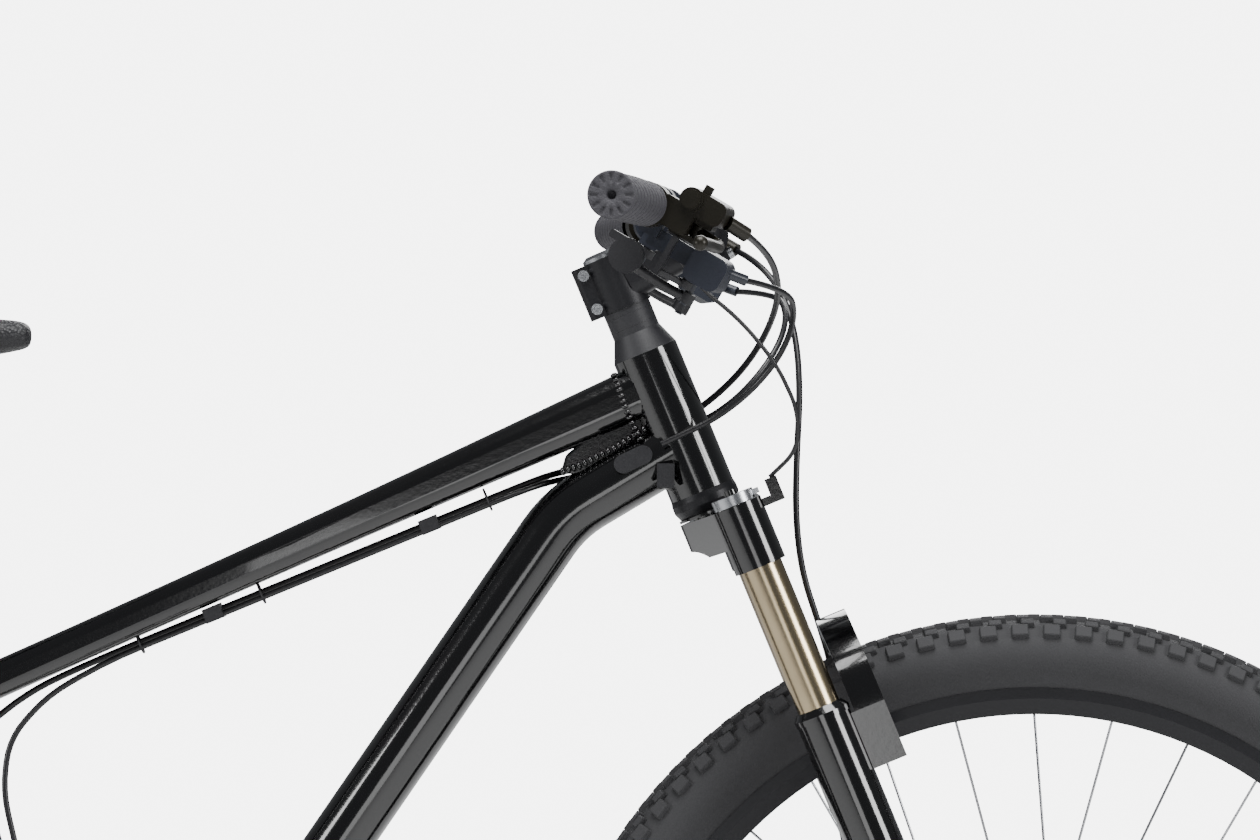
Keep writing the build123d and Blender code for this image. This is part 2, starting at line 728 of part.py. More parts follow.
def chain_link(first, second, outer):
    """One link: two plates with pins through them, or two plates with the rollers between."""
    reach = outer_half if outer else inner_half
    plates = [
        link_plate(
            first, second, plate_radius, plate_radius,
            chain_y + s * reach, chain_y + s * (reach + plate_thickness),
        )
        for s in (-1, 1)
    ]
    link = plates[0] + plates[1]
    for pin in (first, second):
        if outer:
            link += disc(pin, 1.8, chain_y - outer_half, chain_y + outer_half)
        else:
            link += disc(pin, roller_radius - roller_play, chain_y - inner_half, chain_y + inner_half)
    if not outer:
        for pin in (first, second):
            link -= disc(pin, 1.85, chain_y - 4, chain_y + 4)
    return link


links = [
    chain_link(pins[i], pins[(i + 1) % link_count], i % 2 == 0) for i in range(link_count)
]
save("chain", *links)

# Cranks with their spindle and spider, chainrings, and cassette

crank_end = bracket + Vector(crank_length, 0, 0)
arm_inner, arm_thick = 60.0, 13.0


def crank_arm(side, reach):
    """A tapering arm from the spindle to the pedal's eye. Side is -1 on the drive side."""
    centre_from = Vector(bracket.X, side * (arm_inner + arm_thick / 2), bracket.Z)
    centre_to = Vector(bracket.X + reach, side * (crank_half_width - arm_thick / 2), bracket.Z)
    sections = []
    for centre, tall in ((centre_from, 32.0), (centre_to, 24.0)):
        place = Plane(origin=centre, x_dir=(0, 1, 0), z_dir=(math.copysign(1, reach), 0, 0))
        sections.append(place * RectangleRounded(arm_thick, tall, 5))
    arm = loft(sections)
    eye = Vector(bracket.X + reach, 0, bracket.Z)
    arm += disc(bracket, 19, side * (arm_inner - 1.5), side * (arm_inner + arm_thick + 1.5))
    arm += disc(eye, 14, side * (crank_half_width - arm_thick - 1), side * crank_half_width)
    return arm


spider_low, spider_high = chain_y + 1.2, small_ring_y - 1.2
right_arm = crank_arm(-1, crank_length) + disc(bracket, 19, -arm_inner, spider_high)
for i in range(4):
    angle = 45 + 90 * i
    tip = bracket + Vector(52 * cos(angle), 0, 52 * sin(angle))
    right_arm += link_plate(bracket, tip, 13, 8, spider_low, spider_high)
left_arm = crank_arm(1, -crank_length)
spindle = disc(bracket, spindle_radius, -arm_inner, arm_inner)
pedal_spindle = disc(crank_end, 4.6, -crank_half_width, -crank_half_width - 96)
pedal_collar = disc(crank_end, 8.5, -crank_half_width, -crank_half_width - 3)
cranks = (right_arm + spindle + pedal_spindle + pedal_collar) + (
    left_arm
    + disc(bracket + Vector(-crank_length, 0, 0), 4.6, crank_half_width, crank_half_width + 96)
    + disc(bracket + Vector(-crank_length, 0, 0), 8.5, crank_half_width, crank_half_width + 3)
)
save("crank_arms", cranks)

big_ring = wheel_plate(bracket, ring_teeth, 2.0, 44.0, chain_y)
small_ring = wheel_plate(bracket, small_ring_teeth, 2.0, 24.0, small_ring_y)
ring_bolts = []
for i in range(4):
    angle = 45 + 90 * i
    outer_at = bracket + Vector(52 * cos(angle), 0, 52 * sin(angle))
    inner_at = bracket + Vector(32 * cos(angle), 0, 32 * sin(angle))
    ring_bolts.append(disc(outer_at, 5.5, chain_y - 1.0, chain_y - 3.4, 2.5))
    ring_bolts.append(disc(inner_at, 5.0, small_ring_y + 1.0, small_ring_y + 3.0, 2.5))
save("chainrings", big_ring, small_ring, *ring_bolts)

body_radius = 17.3
cassette = []
for i, teeth in enumerate(cog_teeth):
    y = first_cog_y - i * cog_spacing
    cassette.append(wheel_plate(rear_axle, teeth, 1.8, min(body_radius, pitch_radius(teeth) - 6), y))
last_y = first_cog_y - (len(cog_teeth) - 1) * cog_spacing
freehub = disc(rear_axle, min(body_radius, pitch_radius(cog_teeth[-1]) - 6), -25.3, last_y - 0.9)
wide = disc(rear_axle, body_radius, -25.3, last_y + cog_spacing - 0.95)
freehub = freehub + wide - disc(rear_axle, axle_radius + bearing_gap, -20, -80)
lock_ring = disc(rear_axle, 14.0, last_y - 0.9, last_y - 2.6, axle_radius + 1.5)
save("cassette", *cassette, freehub, lock_ring)

# Pedals: an open platform round a barrel that turns on the crank's spindle


def pedal(centre, side):
    y_from, y_to = crank_half_width + 4, crank_half_width + 100
    middle = Vector(centre.X, side * (y_from + y_to) / 2, centre.Z)
    platform = fillet(Box(92, y_to - y_from, 15).edges().filter_by(Axis.Z), 14)
    for x in (-1, 1):
        platform -= Pos(x * 26, 0, 0) * fillet(
            Box(24, y_to - y_from - 26, 30).edges().filter_by(Axis.Z), 6
        )
    for x in (-1, 1):
        for j in range(4):
            pin = Pos(x * 42, -30 + 20 * j, 0) * Cylinder(2, 22)
            platform += pin
    barrel = disc(centre, 11, side * y_from, side * y_to)
    body = Pos(*middle) * platform + barrel
    return body - disc(centre, 4.6 + bearing_gap, side * (y_from - 5), side * (y_to - 3))


save("pedal_right", pedal(crank_end, -1))
save("pedal_left", pedal(bracket + Vector(-crank_length, 0, 0), 1))

# Rear derailleur: the knuckles and links, then the sprung cage with its two pulleys

cage_outer_y, cage_inner_y, cage_plate = chain_y - 6.4, chain_y + 5.6, 1.8
knuckle_y = cage_outer_y - cage_plate - 0.4
rear_mech = disc(hanger_bolt, 12, -stay_end - 3.2, -stay_end - 22)
rear_mech += link_plate(hanger_bolt, cage_pivot, 9, 9, -stay_end - 8, -stay_end - 20)
rear_mech += disc(cage_pivot, 13, knuckle_y, -stay_end - 18)
rear_mech += disc(cage_pivot, 4.0, cage_outer_y + 0.2, knuckle_y)
barrel_at = hanger_bolt + Vector(-10, 0, 4)
rear_mech += rod(
    (barrel_at.X, -stay_end - 15, barrel_at.Z), (barrel_at.X - 16, -stay_end - 15, barrel_at.Z + 2), 4
)
rear_mech += disc(hanger_bolt, 4.8, -stay_end + 3, -stay_end - 4)
save("derailleur_body", rear_mech)

cage = []
for y in (cage_outer_y, cage_inner_y):
    cage.append(link_plate(guide_at, tension_at, 12, 11, y, y - cage_plate))
outer_plate = cage[0] + link_plate(guide_at, cage_pivot, 12, 9, cage_outer_y, cage_outer_y - cage_plate)
outer_plate -= disc(cage_pivot, 4.0 + bearing_gap, cage_outer_y + 3, cage_outer_y - 5)
cage_body = outer_plate + cage[1]
for centre in (guide_at, tension_at):
    cage_body += disc(centre, 3.0, cage_outer_y - cage_plate, cage_inner_y)
    cage_body += disc(centre, 5.5, chain_y - 2.4, cage_outer_y)
    cage_body += disc(centre, 5.5, chain_y + 2.4, cage_inner_y - cage_plate)
save("derailleur_cage", cage_body)
pulley_bore = 3.0 + bearing_gap
save("upper_pulley", wheel_plate(guide_at, pulley_teeth, 2.0, pulley_bore, chain_y))
save("lower_pulley", wheel_plate(tension_at, pulley_teeth, 2.0, pulley_bore, chain_y))

# Front derailleur: a clamp on the seat tube, and the cage that it swings over the rings

mech_height = 128.0
clamp_at = bracket + seat_up * mech_height
hinge_at = clamp_at + Vector(6, -42, 2)
clamp = seat_line * Pos(0, 0, mech_height - 7) * (
    Cylinder(seat_tube_radius + 3.5, 14, align=lowest) - Cylinder(seat_tube_radius, 14, align=lowest)
)
hinge_pin = rod(hinge_at - Vector(15, 0, 0), hinge_at + Vector(15, 0, 0), 2.5)
front_mech = clamp + hinge_pin
for side in (-1, 1):
    front_mech += Pos(hinge_at.X + side * 12.5, -30.5, hinge_at.Z) * Box(5, 29, 10)
front_mech += Pos(hinge_at.X, -25, hinge_at.Z) * Box(30, 12, 10)
front_mech -= seat_outer
save("front_derailleur_body", front_mech.solids().sort_by(SortBy.VOLUME)[-1])

ring_clear = ring_radius + 5.5
cage_length, cage_back = 74.0, -72.0
cage_low, cage_high = 50.0, 101.0
cage_in, cage_out = chain_y + 6.0, chain_y - 6.4


def guide_plate(y_from, y_to):
    low, high = min(y_from, y_to), max(y_from, y_to)
    box = Pos(bracket.X + cage_back + cage_length / 2, (low + high) / 2, bracket.Z + (cage_low + cage_high) / 2)
    return box * Box(cage_length, high - low, cage_high - cage_low) - disc(bracket, ring_clear, low - 1, high + 1)


front_cage = guide_plate(cage_in, cage_in - 1.2) + guide_plate(cage_out, cage_out + 1.2)
front_cage += Pos(bracket.X - 61, chain_y - 0.2, bracket.Z + cage_high - 1.2) * Box(
    22, cage_in - cage_out, 2.4
)
front_cage += Pos(bracket.X + cage_back + 2, chain_y - 0.2, bracket.Z + cage_low + 3) * Box(
    4, cage_in - cage_out, 6
)
swing_arm = rod(hinge_at - Vector(9.5, 0, 0), hinge_at + Vector(9.5, 0, 0), 5)
arm_foot = bracket.Z + cage_high
swing_arm += Pos(hinge_at.X, hinge_at.Y - 1.5, (hinge_at.Z + arm_foot) / 2 - 4) * Box(
    16, 5, hinge_at.Z - arm_foot + 6
)
front_cage += swing_arm
front_cage -= rod(hinge_at - Vector(11, 0, 0), hinge_at + Vector(11, 0, 0), 2.5 + bearing_gap)
save("front_derailleur_cage", front_cage.solids().sort_by(SortBy.VOLUME)[-1])

# Seatpost, clamp and saddle

post_head = saddle_top - 54.0
post_top = bracket + seat_up * ((post_head - bracket_z) / sin(seat_angle))
post_foot = post_top - seat_up * seatpost_length
post = rod(post_foot, post_top, seatpost_radius, seatpost_radius - 2.2)
cradle = Pos(post_top.X, 0, post_top.Z + 2) * Box(46, 50, 14)
cradle_top = post_top.Z + 2
for side in (-1, 1):
    cradle -= Pos(post_top.X, side * rail_spacing / 2, cradle_top + 3) * Rot(0, 90, 0) * Cylinder(
        rail_radius, 60
    )
save("seatpost", (post + cradle).solids().sort_by(SortBy.VOLUME)[-1])

collar = seat_line * Pos(0, 0, seat_tube_length - 14) * (
    Cylinder(seat_tube_radius + 3, 14.0, align=lowest) - Cylinder(seat_tube_radius, 14.0, align=lowest)
)
collar_bolt = seat_line * Pos(-seat_tube_radius - 6, 0, seat_tube_length - 7) * Rot(90, 0, 0) * Cylinder(3, 24)
collar_ears = seat_line * Pos(-seat_tube_radius - 6, 0, seat_tube_length - 7) * Box(12, 15, 12)
save("seat_clamp", collar + (collar_ears - seat_outer) + collar_bolt)

saddle_x = post_top.X + 4
saddle_sections = []
for share, width, height, drop in (
    (-0.5, 110, 26, 0.0), (-0.36, 142, 38, 0.0), (-0.12, 116, 36, 6.0),
    (0.12, 62, 34, 9.0), (0.36, 42, 30, 8.0), (0.5, 30, 20, 11.0),
):
    width = width * saddle_width / 142
    centre = Vector(saddle_x + share * saddle_length, 0, saddle_top - drop - height / 2)
    place = Plane(origin=centre, x_dir=(0, 1, 0), z_dir=(1, 0, 0))
    saddle_sections.append(place * RectangleRounded(width, height, 0.45 * height))
saddle_body = loft(saddle_sections, ruled=True)
rail_z = cradle_top + 3
rail_y = rail_spacing / 2
rail = pipe(
    [
        (saddle_x - 112, rail_y + 16, saddle_top - 30), (saddle_x - 74, rail_y + 6, rail_z + 10),
        (saddle_x - 42, rail_y, rail_z), (saddle_x + 40, rail_y, rail_z),
        (saddle_x + 74, rail_y - 6, rail_z + 4), (saddle_x + 112, rail_y - 15, saddle_top - 26),
    ],
    rail_radius,
    [16.0, 24.0, 24.0, 16.0],
)
save("saddle_rails", *both_sides(rail))
saddle_body = saddle_body - rail - mirrored(rail)
save("saddle", saddle_body.solids().sort_by(SortBy.VOLUME)[-1])

# Headset cover and spacers, stem and its bolts


def ring_on_steerer(low, high, outer_low, outer_high):
    return turned(
        (steerer_radius, low), (outer_low, low), (outer_high, high), (steerer_radius, high)
    )


spacers = [ring_on_steerer(head_top, head_top + cover_height, head_tube_radius, spacer_radius)]
level = head_top + cover_height
for height in spacer_heights:
    spacers.append(ring_on_steerer(level, level + height - 0.1, spacer_radius, spacer_radius))
    level += height
save("headset_spacers", *[steering * ring for ring in spacers])

stem_middle = (stem_bottom + stem_top) / 2
bar_ahead, bar_up = stem_length * cos(stem_rise), stem_middle + stem_length * sin(stem_rise)
stem_place = Plane(
    origin=on_steering(0, 0, stem_middle),
    x_dir=steer_ahead * cos(stem_rise) + steer_up * sin(stem_rise),
    z_dir=steer_up * cos(stem_rise) - steer_ahead * sin(stem_rise),
)
bar_centre = on_steering(bar_ahead, 0, bar_up)
stem_body = steering * Pos(0, 0, stem_bottom) * Cylinder(19.5, stem_clamp_height, align=lowest)
stem_body += steering * Pos(-15, 0, stem_middle) * fillet(
    Box(26, 24, stem_clamp_height).edges().filter_by(Axis.Z), 6
)
neck = loft(
    [
        stem_place * Plane(origin=(8, 0, 0), x_dir=(0, 1, 0), z_dir=(1, 0, 0)) * RectangleRounded(37, 37, 12),
        stem_place * Plane(origin=(stem_length - 14, 0, 0), x_dir=(0, 1, 0), z_dir=(1, 0, 0))
        * RectangleRounded(42, 36, 9),
    ]
)
stem_body += neck
clamp_half = stem_place * Pos(stem_length, 0, 0) * Rot(90, 0, 0) * Cylinder(22, 46)
gap_plane = stem_place * Pos(stem_length + 30 + 1.2, 0, 0) * Box(60, 80, 80)
rear_half = stem_place * Pos(stem_length - 30 - 1.2, 0, 0) * Box(60, 80, 80)
clamp_bore = stem_place * Pos(stem_length, 0, 0) * Rot(90, 0, 0) * Cylinder(bar_clamp_radius, 90)
lug_block = stem_place * Pos(stem_length, 0, 0) * Box(24, 44, 54)
stem_body += (clamp_half + lug_block) & rear_half
stem_body = stem_body - clamp_bore - steering * Cylinder(steerer_radius, 600)
save("stem", stem_body.solids().sort_by(SortBy.VOLUME)[-1])
faceplate = ((clamp_half + lug_block) & gap_plane) - clamp_bore
save("stem_faceplate", faceplate)

bolts = []
for up in (-22.5, 22.5):
    for y in (-15, 15):
        bolts.append(
            stem_place * Pos(stem_length + 12, y, up) * Rot(0, 90, 0)
            * (Cylinder(4.2, 4, align=lowest) - Pos(0, 0, 2) * Cylinder(2, 3, align=lowest))
        )
for up in (-13.3, 13.3):
    bolts.append(
        steering * Pos(-20.6, -12, stem_middle + up) * Rot(90, 0, 0)
        * (Cylinder(4.2, 4, align=lowest) - Pos(0, 0, 2) * Cylinder(2, 3, align=lowest))
    )
top_cap = steering * turned((0, stem_top), (17.5, stem_top), (17.5, stem_top + 2.5), (14, stem_top + 5), (0, stem_top + 5))
save("cockpit_bolts", *bolts, top_cap)

# Handlebar: a low riser, swept back, thick at the clamp

bend_y = 110.0
tip_drop = 1.0
tip = Vector(bar_centre.X - 22 - (bar_half_width - bend_y) * math.tan(math.radians(bar_sweep)), 0, 0)
outer_rise = bar_centre.Z + bar_rise
bar_points = [
    Vector(bar_centre.X, 45, bar_centre.Z),
    Vector(bar_centre.X - 22, bend_y, outer_rise),
    Vector(tip.X, bar_half_width, outer_rise + tip_drop),
]
bar_dir = (bar_points[2] - bar_points[1]).normalized()
left_run = bar_points
right_run = [Vector(p.X, -p.Y, p.Z) for p in reversed(bar_points)]
bar_route = right_run + left_run
bar_radii = [60, 60, 60, 60]
handlebar = pipe(bar_route, bar_radius, bar_radii)
handlebar += disc(bar_centre, bar_clamp_radius, -28, 28)
for side in (-1, 1):
    handlebar += rod(
        Vector(bar_centre.X, side * 28, bar_centre.Z), Vector(bar_centre.X, side * 44, bar_centre.Z),
        bar_clamp_radius, end_radius=bar_radius + 0.5,
    )
handlebar -= pipe(bar_route, bar_bore, bar_radii)
save("handlebar", handlebar)


def on_bar(y):
    """The point on the left half of the bar's straight end at a distance from the mid-plane."""
    return bar_points[1] + bar_dir * ((y - bend_y) / bar_dir.Y)


grip_from = on_bar(bar_half_width) - bar_dir * grip_length
grip = rod(grip_from, on_bar(bar_half_width) + bar_dir * 3, grip_radius - 1)
grip += rod(grip_from, grip_from + bar_dir * 6, grip_radius)
grip += rod(on_bar(bar_half_width) - bar_dir * 3, on_bar(bar_half_width) + bar_dir * 3, grip_radius + 1.5)
grip -= rod(grip_from - bar_dir, on_bar(bar_half_width), bar_radius)
save("grips", *both_sides(grip))

# Controls, made for the left hand about the bar and mirrored for the right.
# In this plane x points along the tilted levers, y up from them and z out along the bar.

forward = Vector(cos(controls_tilt), 0, -sin(controls_tilt))
forward = (forward - bar_dir * forward.dot(bar_dir)).normalized()
controls = Plane(origin=on_bar(controls_y), x_dir=forward, z_dir=bar_dir)
side_up = -1.0


def at_controls(reach, up, out):
    """A point on the left control: ahead along the lever, up from it and out along the bar."""
    return controls.from_local_coords(Vector(reach, side_up * up, out))


def control_rod(start, end, radius, bore=0.0):
    return rod(at_controls(*start), at_controls(*end), radius, bore)


def control_box(low, high, radius=0.0):
    size = [abs(b - a) for a, b in zip(low, high)]
    middle = [(a + b) / 2 for a, b in zip(low, high)]
    shape = Box(*size)
    if radius:
        shape = fillet(shape.edges().filter_by(Axis.Z), radius)
    return controls * Pos(middle[0], side_up * middle[1], middle[2]) * shape


pivot_reach, pivot_out = 38.0, -14.0
bar_hole = control_rod((0, 0, -90), (0, 0, 40), bar_radius)
brake_body = control_rod((0, 0, -8), (0, 0, 8), 16)
brake_body += control_box((8, -7, -8), (34, 14, 8), 3)
brake_body += control_rod((26, 19, -34), (26, 19, 12), 8.5)
brake_body += control_rod((26, 19, 12), (26, 19, 15), 7)
brake_body += control_box((20, 9, -34), (52, 27, 8), 6)
brake_body += control_box((29, 26, -2), (35, 33, 4))
for low, high in ((-9, -5), (5, 9.5)):
    brake_body += control_box((24, low, -24), (47, high, -4), 1.5)
brake_body += control_box((20, -9, -34), (29, 10, -2), 2)
brake_body += control_rod((52, 16, -22), (66, 15, -33), 5.5)
brake_body -= bar_hole
brake_body += control_rod((pivot_reach, -9, pivot_out), (pivot_reach, 9, pivot_out), 2.5)
save("brake_bodies", *both_sides(brake_body))

blade_route = [
    at_controls(pivot_reach, 0, pivot_out), at_controls(58, 0, 2), at_controls(64, 0, 40),
    at_controls(60, 0, 78), at_controls(62, 0, 108),
]
blade = pipe(blade_route, 4.4)
blade += control_rod((pivot_reach, -4.6, pivot_out), (pivot_reach, 4.6, pivot_out), 6.0)
blade += Pos(*at_controls(62, 0, 108)) * Sphere(5.4)
blade -= control_rod((pivot_reach, -6, pivot_out), (pivot_reach, 6, pivot_out), 2.5 + bearing_gap)
save("brake_lever_left", blade)
save("brake_lever_right", mirrored(blade))

pod = control_box((42, -33, -52), (70, -8, -12), 7)
pod += control_box((6, -26, -36), (46, -12, -30), 2)
pod += control_rod((0, 0, -36), (0, 0, -26), 15.5)
pod += control_box((-3, -20, -36), (12, -8, -26))
pod += control_rod((66, -16, -40), (80, -14, -48), 4.0)
pod -= bar_hole
pod += control_rod((50, -32, -38), (50, -51, -38), 3.0)
pod += control_rod((47, -32, -20), (47, -41, -20), 3.0)
pod = pod.solids().sort_by(SortBy.VOLUME)[-1]
remote = control_rod((0, 0, -76), (0, 0, -66), 15) + control_box((-4, -30, -76), (10, -12, -66), 2)
remote = remote - control_rod((0, 0, -90), (0, 0, -50), bar_radius)
remote += control_rod((3, -30, -71), (3, -42, -71), 3.0) + control_rod((6, -24, -74), (16, -22, -84), 3.4)
save("shifter_pods", *both_sides(pod), mirrored(remote))

# Shift levers: a long thumb lever under each pod, and a short release paddle beside it

thumb = pipe([at_controls(50, -45.5, -38), at_controls(34, -45.5, -24), at_controls(5, -42, 6)], 3.6)
thumb += control_rod((50, -41.6, -38), (50, -49.4, -38), 6.5)
thumb += control_rod((5, -38.7, 2), (5, -38.7, 9), 12.5)
thumb -= control_rod((50, -30, -38), (50, -50, -38), 3.0 + bearing_gap)
save("left_thumb_lever", thumb)
save("right_thumb_lever", mirrored(thumb))
release = control_rod((47, -34, -20), (47, -39.5, -20), 5.5)
release += rod(at_controls(47, -37, -20), at_controls(29, -37, -1), 2.4)
release += control_box((26.5, -39, -5), (30.5, -9, 5), 1.5)
release -= control_rod((47, -30, -20), (47, -45, -20), 3.0 + bearing_gap)
save("left_release_lever", release)
save("right_release_lever", mirrored(release))
lock_lever = control_rod((3, -31, -71), (3, -37, -71), 7) + control_box((-26, -37, -75), (3, -31, -67), 2)
lock_lever -= control_rod((3, -30, -71), (3, -60, -71), 3.0 + bearing_gap)
save("lockout_lever", mirrored(lock_lever))

# Lockout spool on top of the right leg: the remote's cable turns it

spool_bottom = sleeve_top + 0.4
spool_pin = Pos(stanchion_lead, -leg_y, sleeve_top) * Cylinder(5, 12, align=lowest)
spool = Cylinder(16, 7.6, align=lowest) + Pos(13, 0, 2) * Box(14, 7, 4, align=lowest)
spool = Pos(stanchion_lead, -leg_y, spool_bottom) * (spool - Cylinder(5 + bearing_gap, 30))
cable_stop = Pos(stanchion_lead + 31, -leg_y + 4, sleeve_top - 3) * Box(9, 10, 12, align=lowest)
save("lockout_spool", steering * spool)
spool_base = Pos(stanchion_lead + 22, -leg_y + 4, sleeve_top - 9) * Box(27, 10, 6, align=lowest)
spool_base -= Pos(stanchion_lead, -leg_y, -60) * Cylinder(sleeve_radius, 80, align=lowest)
stop_arm = (cable_stop + spool_base) - crown_body
save("fork_crown", steering * (crown_body + spool_pin), steering * crown_race, steering * stop_arm)

# Hoses and cables. Each route is a list of points along the real hose

hose_radius, cable_radius = 2.5, 2.3


def hose(name, route, radius=hose_radius):
    route = [Vector(*p) for p in route]
    tube = pipe(route, radius)
    length = path_along(route).length
    corner = ", ".join(f"{r:.0f}" for r in bend_radii(route))
    share = tube.volume / (math.pi * radius**2 * length)
    print(f"{name}: {length:.0f} mm, volume ratio {share:.4f}, radii {corner}")
    return tube


boot = at_controls(66, 15, -33)
boot_right = (boot.X, -boot.Y, boot.Z)
pod_out = at_controls(80, -14, -48)
brake_cross = [
    boot_right, (366, -140, 1012), (379, -98, 997), (383, -52, 976), (375, -10, 950), (357, 22, 922),
    (330, 38, 897), (298, 40, 877), (268, 35, 863), (253, 29.5, 856.75),
]
front_cross = [
    pod_out, (386, 128, 983), (393, 96, 968), (388, 64, 946), (371, 46, 920), (347, 42, 896),
    (318, 47, 880), (288, 47, 866), (264, 40, 855), (252, 34.5, 850),
]
gear_cross = [
    (pod_out.X, -pod_out.Y, pod_out.Z), (388, -120, 980), (394, -84, 962), (386, -54, 936),
    (366, -40, 910), (340, -38, 889), (316, -39, 877), (297, -37.5, 868.5),
]
control_cables = [
    hose("rear brake, lever to frame", brake_cross),
    hose("front shift, pod to frame", front_cross, cable_radius),
    hose("rear shift, pod to frame", gear_cross, cable_radius),
]
save("control_cables", *control_cables)

front_brake_route = [
    (boot.X, boot.Y, boot.Z), (371, 154, 1009), (391, 137, 984), (401, 115, 948), (403, 97, 905),
    (400, 86, 858), (399, 80, 812), (404, 80, 770),
]
leg_route = [
    on_steering(44, 80, -110), on_steering(40, 86, -150), on_steering(25, 90.5, -190),
    on_steering(6, 91, -235), on_steering(-4, 89, -285), on_steering(-12, 84, -335),
    on_steering(-22, 72, -380), on_steering(-30, 58, -418),
]
front_brake = hose("front brake", front_brake_route + leg_route)
save("front_brake_hose", front_brake)

lock_start = at_controls(16, -22, -84)
lockout_route = [
    (lock_start.X, -lock_start.Y, lock_start.Z), (324, -108, 982), (354, -95, 958),
    (380, -84, 927), (396, -75, 893), (396, -66, 864), on_steering(49, -61, 8.5),
]
save("lockout_cable", hose("lockout", lockout_route, 1.6))

line_left, line_right = 5.0, -5.0
brake_rear = [
    (252.1, 29.2, 856.4), (234, 23.5, 850), (212, 14, 844.5), (190, line_left, 836),
    (-120, line_left, 708.8), (-172, 9, 685), (-214, 26, 652), (-252, 40, 628), (-292, 55, 614),
    (-330, 60, 586), (-372, 63, 548), (-414, 65, 509), (-452, 66, 470), (-484, 64, 440),
]
shift_rear = [
    (251.1, 34.1, 849.6), (232, 24, 843.5), (210, 8, 839), (186, line_right, 830.4),
    (-112, line_right, 708.1), (-158, -5.5, 682), (-186, -8, 650), (-190, -14, 612),
    (-180, -17, 570), (-168, -19, 525), (-158, -22, 485), (-156, -28, 458),
]
rear_loop = [
    (-312, -64, 295), (-372, -69, 293), (-432, -76, 288), (-492, -83, 280), (-548, -87, 272),
    (-598, -89, 275), (-632, -89, 292), (-645, -88, 315), (-640, -87, 336), (-627, -86, 348),
    (barrel_at.X - 16.4, -stay_end - 15, barrel_at.Z + 2),
]
save(
    "frame_hoses",
    hose("rear brake, frame to calliper", brake_rear),
    hose("front shift, frame to derailleur", shift_rear, cable_radius),
    hose("rear shift, stay to derailleur", rear_loop, cable_radius),
)

# Clips under the top tube, the down tube's grommet and its bump stop

fittings = []
clip_lines = [
    rod(brake_rear[3], brake_rear[4], hose_radius + 0.05),
    rod(shift_rear[3], shift_rear[4], cable_radius + 0.05),
]
for x in (125.0, -35.0):
    level = 836 - 0.4103 * (190 - x) - 1.0
    body = Pos(x, 0, level) * Rot(0, -22.3, 0) * Box(14, 24, 11)
    fittings.append(body - top_outer - clip_lines[0] - clip_lines[1])
grommet = Pos(276, -22, 857) * Rot(0, -25, 0) * Rot(90, 0, 0) * (
    extrude(SlotOverall(30, 14), 7)
)
fittings.append(grommet - down_outer - head_outer)
stop = Pos(300, -25, 845) * Box(13, 6, 18)
fittings.append(stop - down_outer - head_outer)
save("cable_fittings", *[f.solids().sort_by(SortBy.VOLUME)[-1] for f in fittings])
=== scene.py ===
import json
import math

import bpy
from mathutils import Matrix, Vector

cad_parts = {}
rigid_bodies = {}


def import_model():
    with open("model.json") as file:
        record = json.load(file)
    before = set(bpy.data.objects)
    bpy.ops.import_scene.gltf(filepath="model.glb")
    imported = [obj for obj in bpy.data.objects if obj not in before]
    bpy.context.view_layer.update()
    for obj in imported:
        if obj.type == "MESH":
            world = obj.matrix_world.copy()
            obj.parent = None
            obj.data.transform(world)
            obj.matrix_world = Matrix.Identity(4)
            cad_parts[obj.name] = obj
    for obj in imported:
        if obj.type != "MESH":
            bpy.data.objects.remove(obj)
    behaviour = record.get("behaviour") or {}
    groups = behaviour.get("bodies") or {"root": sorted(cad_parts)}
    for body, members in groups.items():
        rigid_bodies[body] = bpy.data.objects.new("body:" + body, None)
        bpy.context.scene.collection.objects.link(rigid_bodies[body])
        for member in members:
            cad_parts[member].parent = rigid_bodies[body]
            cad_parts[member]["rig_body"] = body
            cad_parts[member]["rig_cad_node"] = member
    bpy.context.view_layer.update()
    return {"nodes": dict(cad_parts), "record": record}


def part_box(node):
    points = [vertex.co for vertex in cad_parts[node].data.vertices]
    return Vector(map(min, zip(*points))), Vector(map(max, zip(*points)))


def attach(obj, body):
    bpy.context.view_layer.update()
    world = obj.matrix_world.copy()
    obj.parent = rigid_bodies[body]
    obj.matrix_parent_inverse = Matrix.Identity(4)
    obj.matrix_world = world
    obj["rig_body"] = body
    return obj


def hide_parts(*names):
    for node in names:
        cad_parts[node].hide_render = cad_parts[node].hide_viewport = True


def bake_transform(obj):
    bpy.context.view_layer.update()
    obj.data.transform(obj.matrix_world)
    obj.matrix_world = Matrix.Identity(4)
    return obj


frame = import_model()
nodes = frame["nodes"]
bpy.ops.object.select_all(action="DESELECT")


# The camera stands level, square to the bike's drive side and four metres off, with a long
# lens, and is aimed past the head tube at the height of the handlebar's neck.

camera_distance = 4.0
aim_x, aim_z = 0.2737, 0.886
seen_width = 0.935
sensor_width = 36.0
bpy.ops.object.camera_add(location=(aim_x, -camera_distance, aim_z), rotation=(math.pi / 2, 0, 0))
camera = bpy.context.object
camera.name = "camera"
camera.data.sensor_width = sensor_width
camera.data.lens = sensor_width * camera_distance / seen_width
camera.data.clip_end = 60.0
bpy.context.scene.camera = camera


# A plain studio: a pale floor, a white surround behind the bike, and soft boxes overhead, at
# each end and low on the camera's side, which lay long highlights along the black tubes.


def linear(code):
    """A colour given as an sRGB hex code, as linear numbers."""
    parts = [int(code[i : i + 2], 16) / 255 for i in (1, 3, 5)]
    return [p / 12.92 if p <= 0.04045 else ((p + 0.055) / 1.055) ** 2.4 for p in parts] + [1.0]


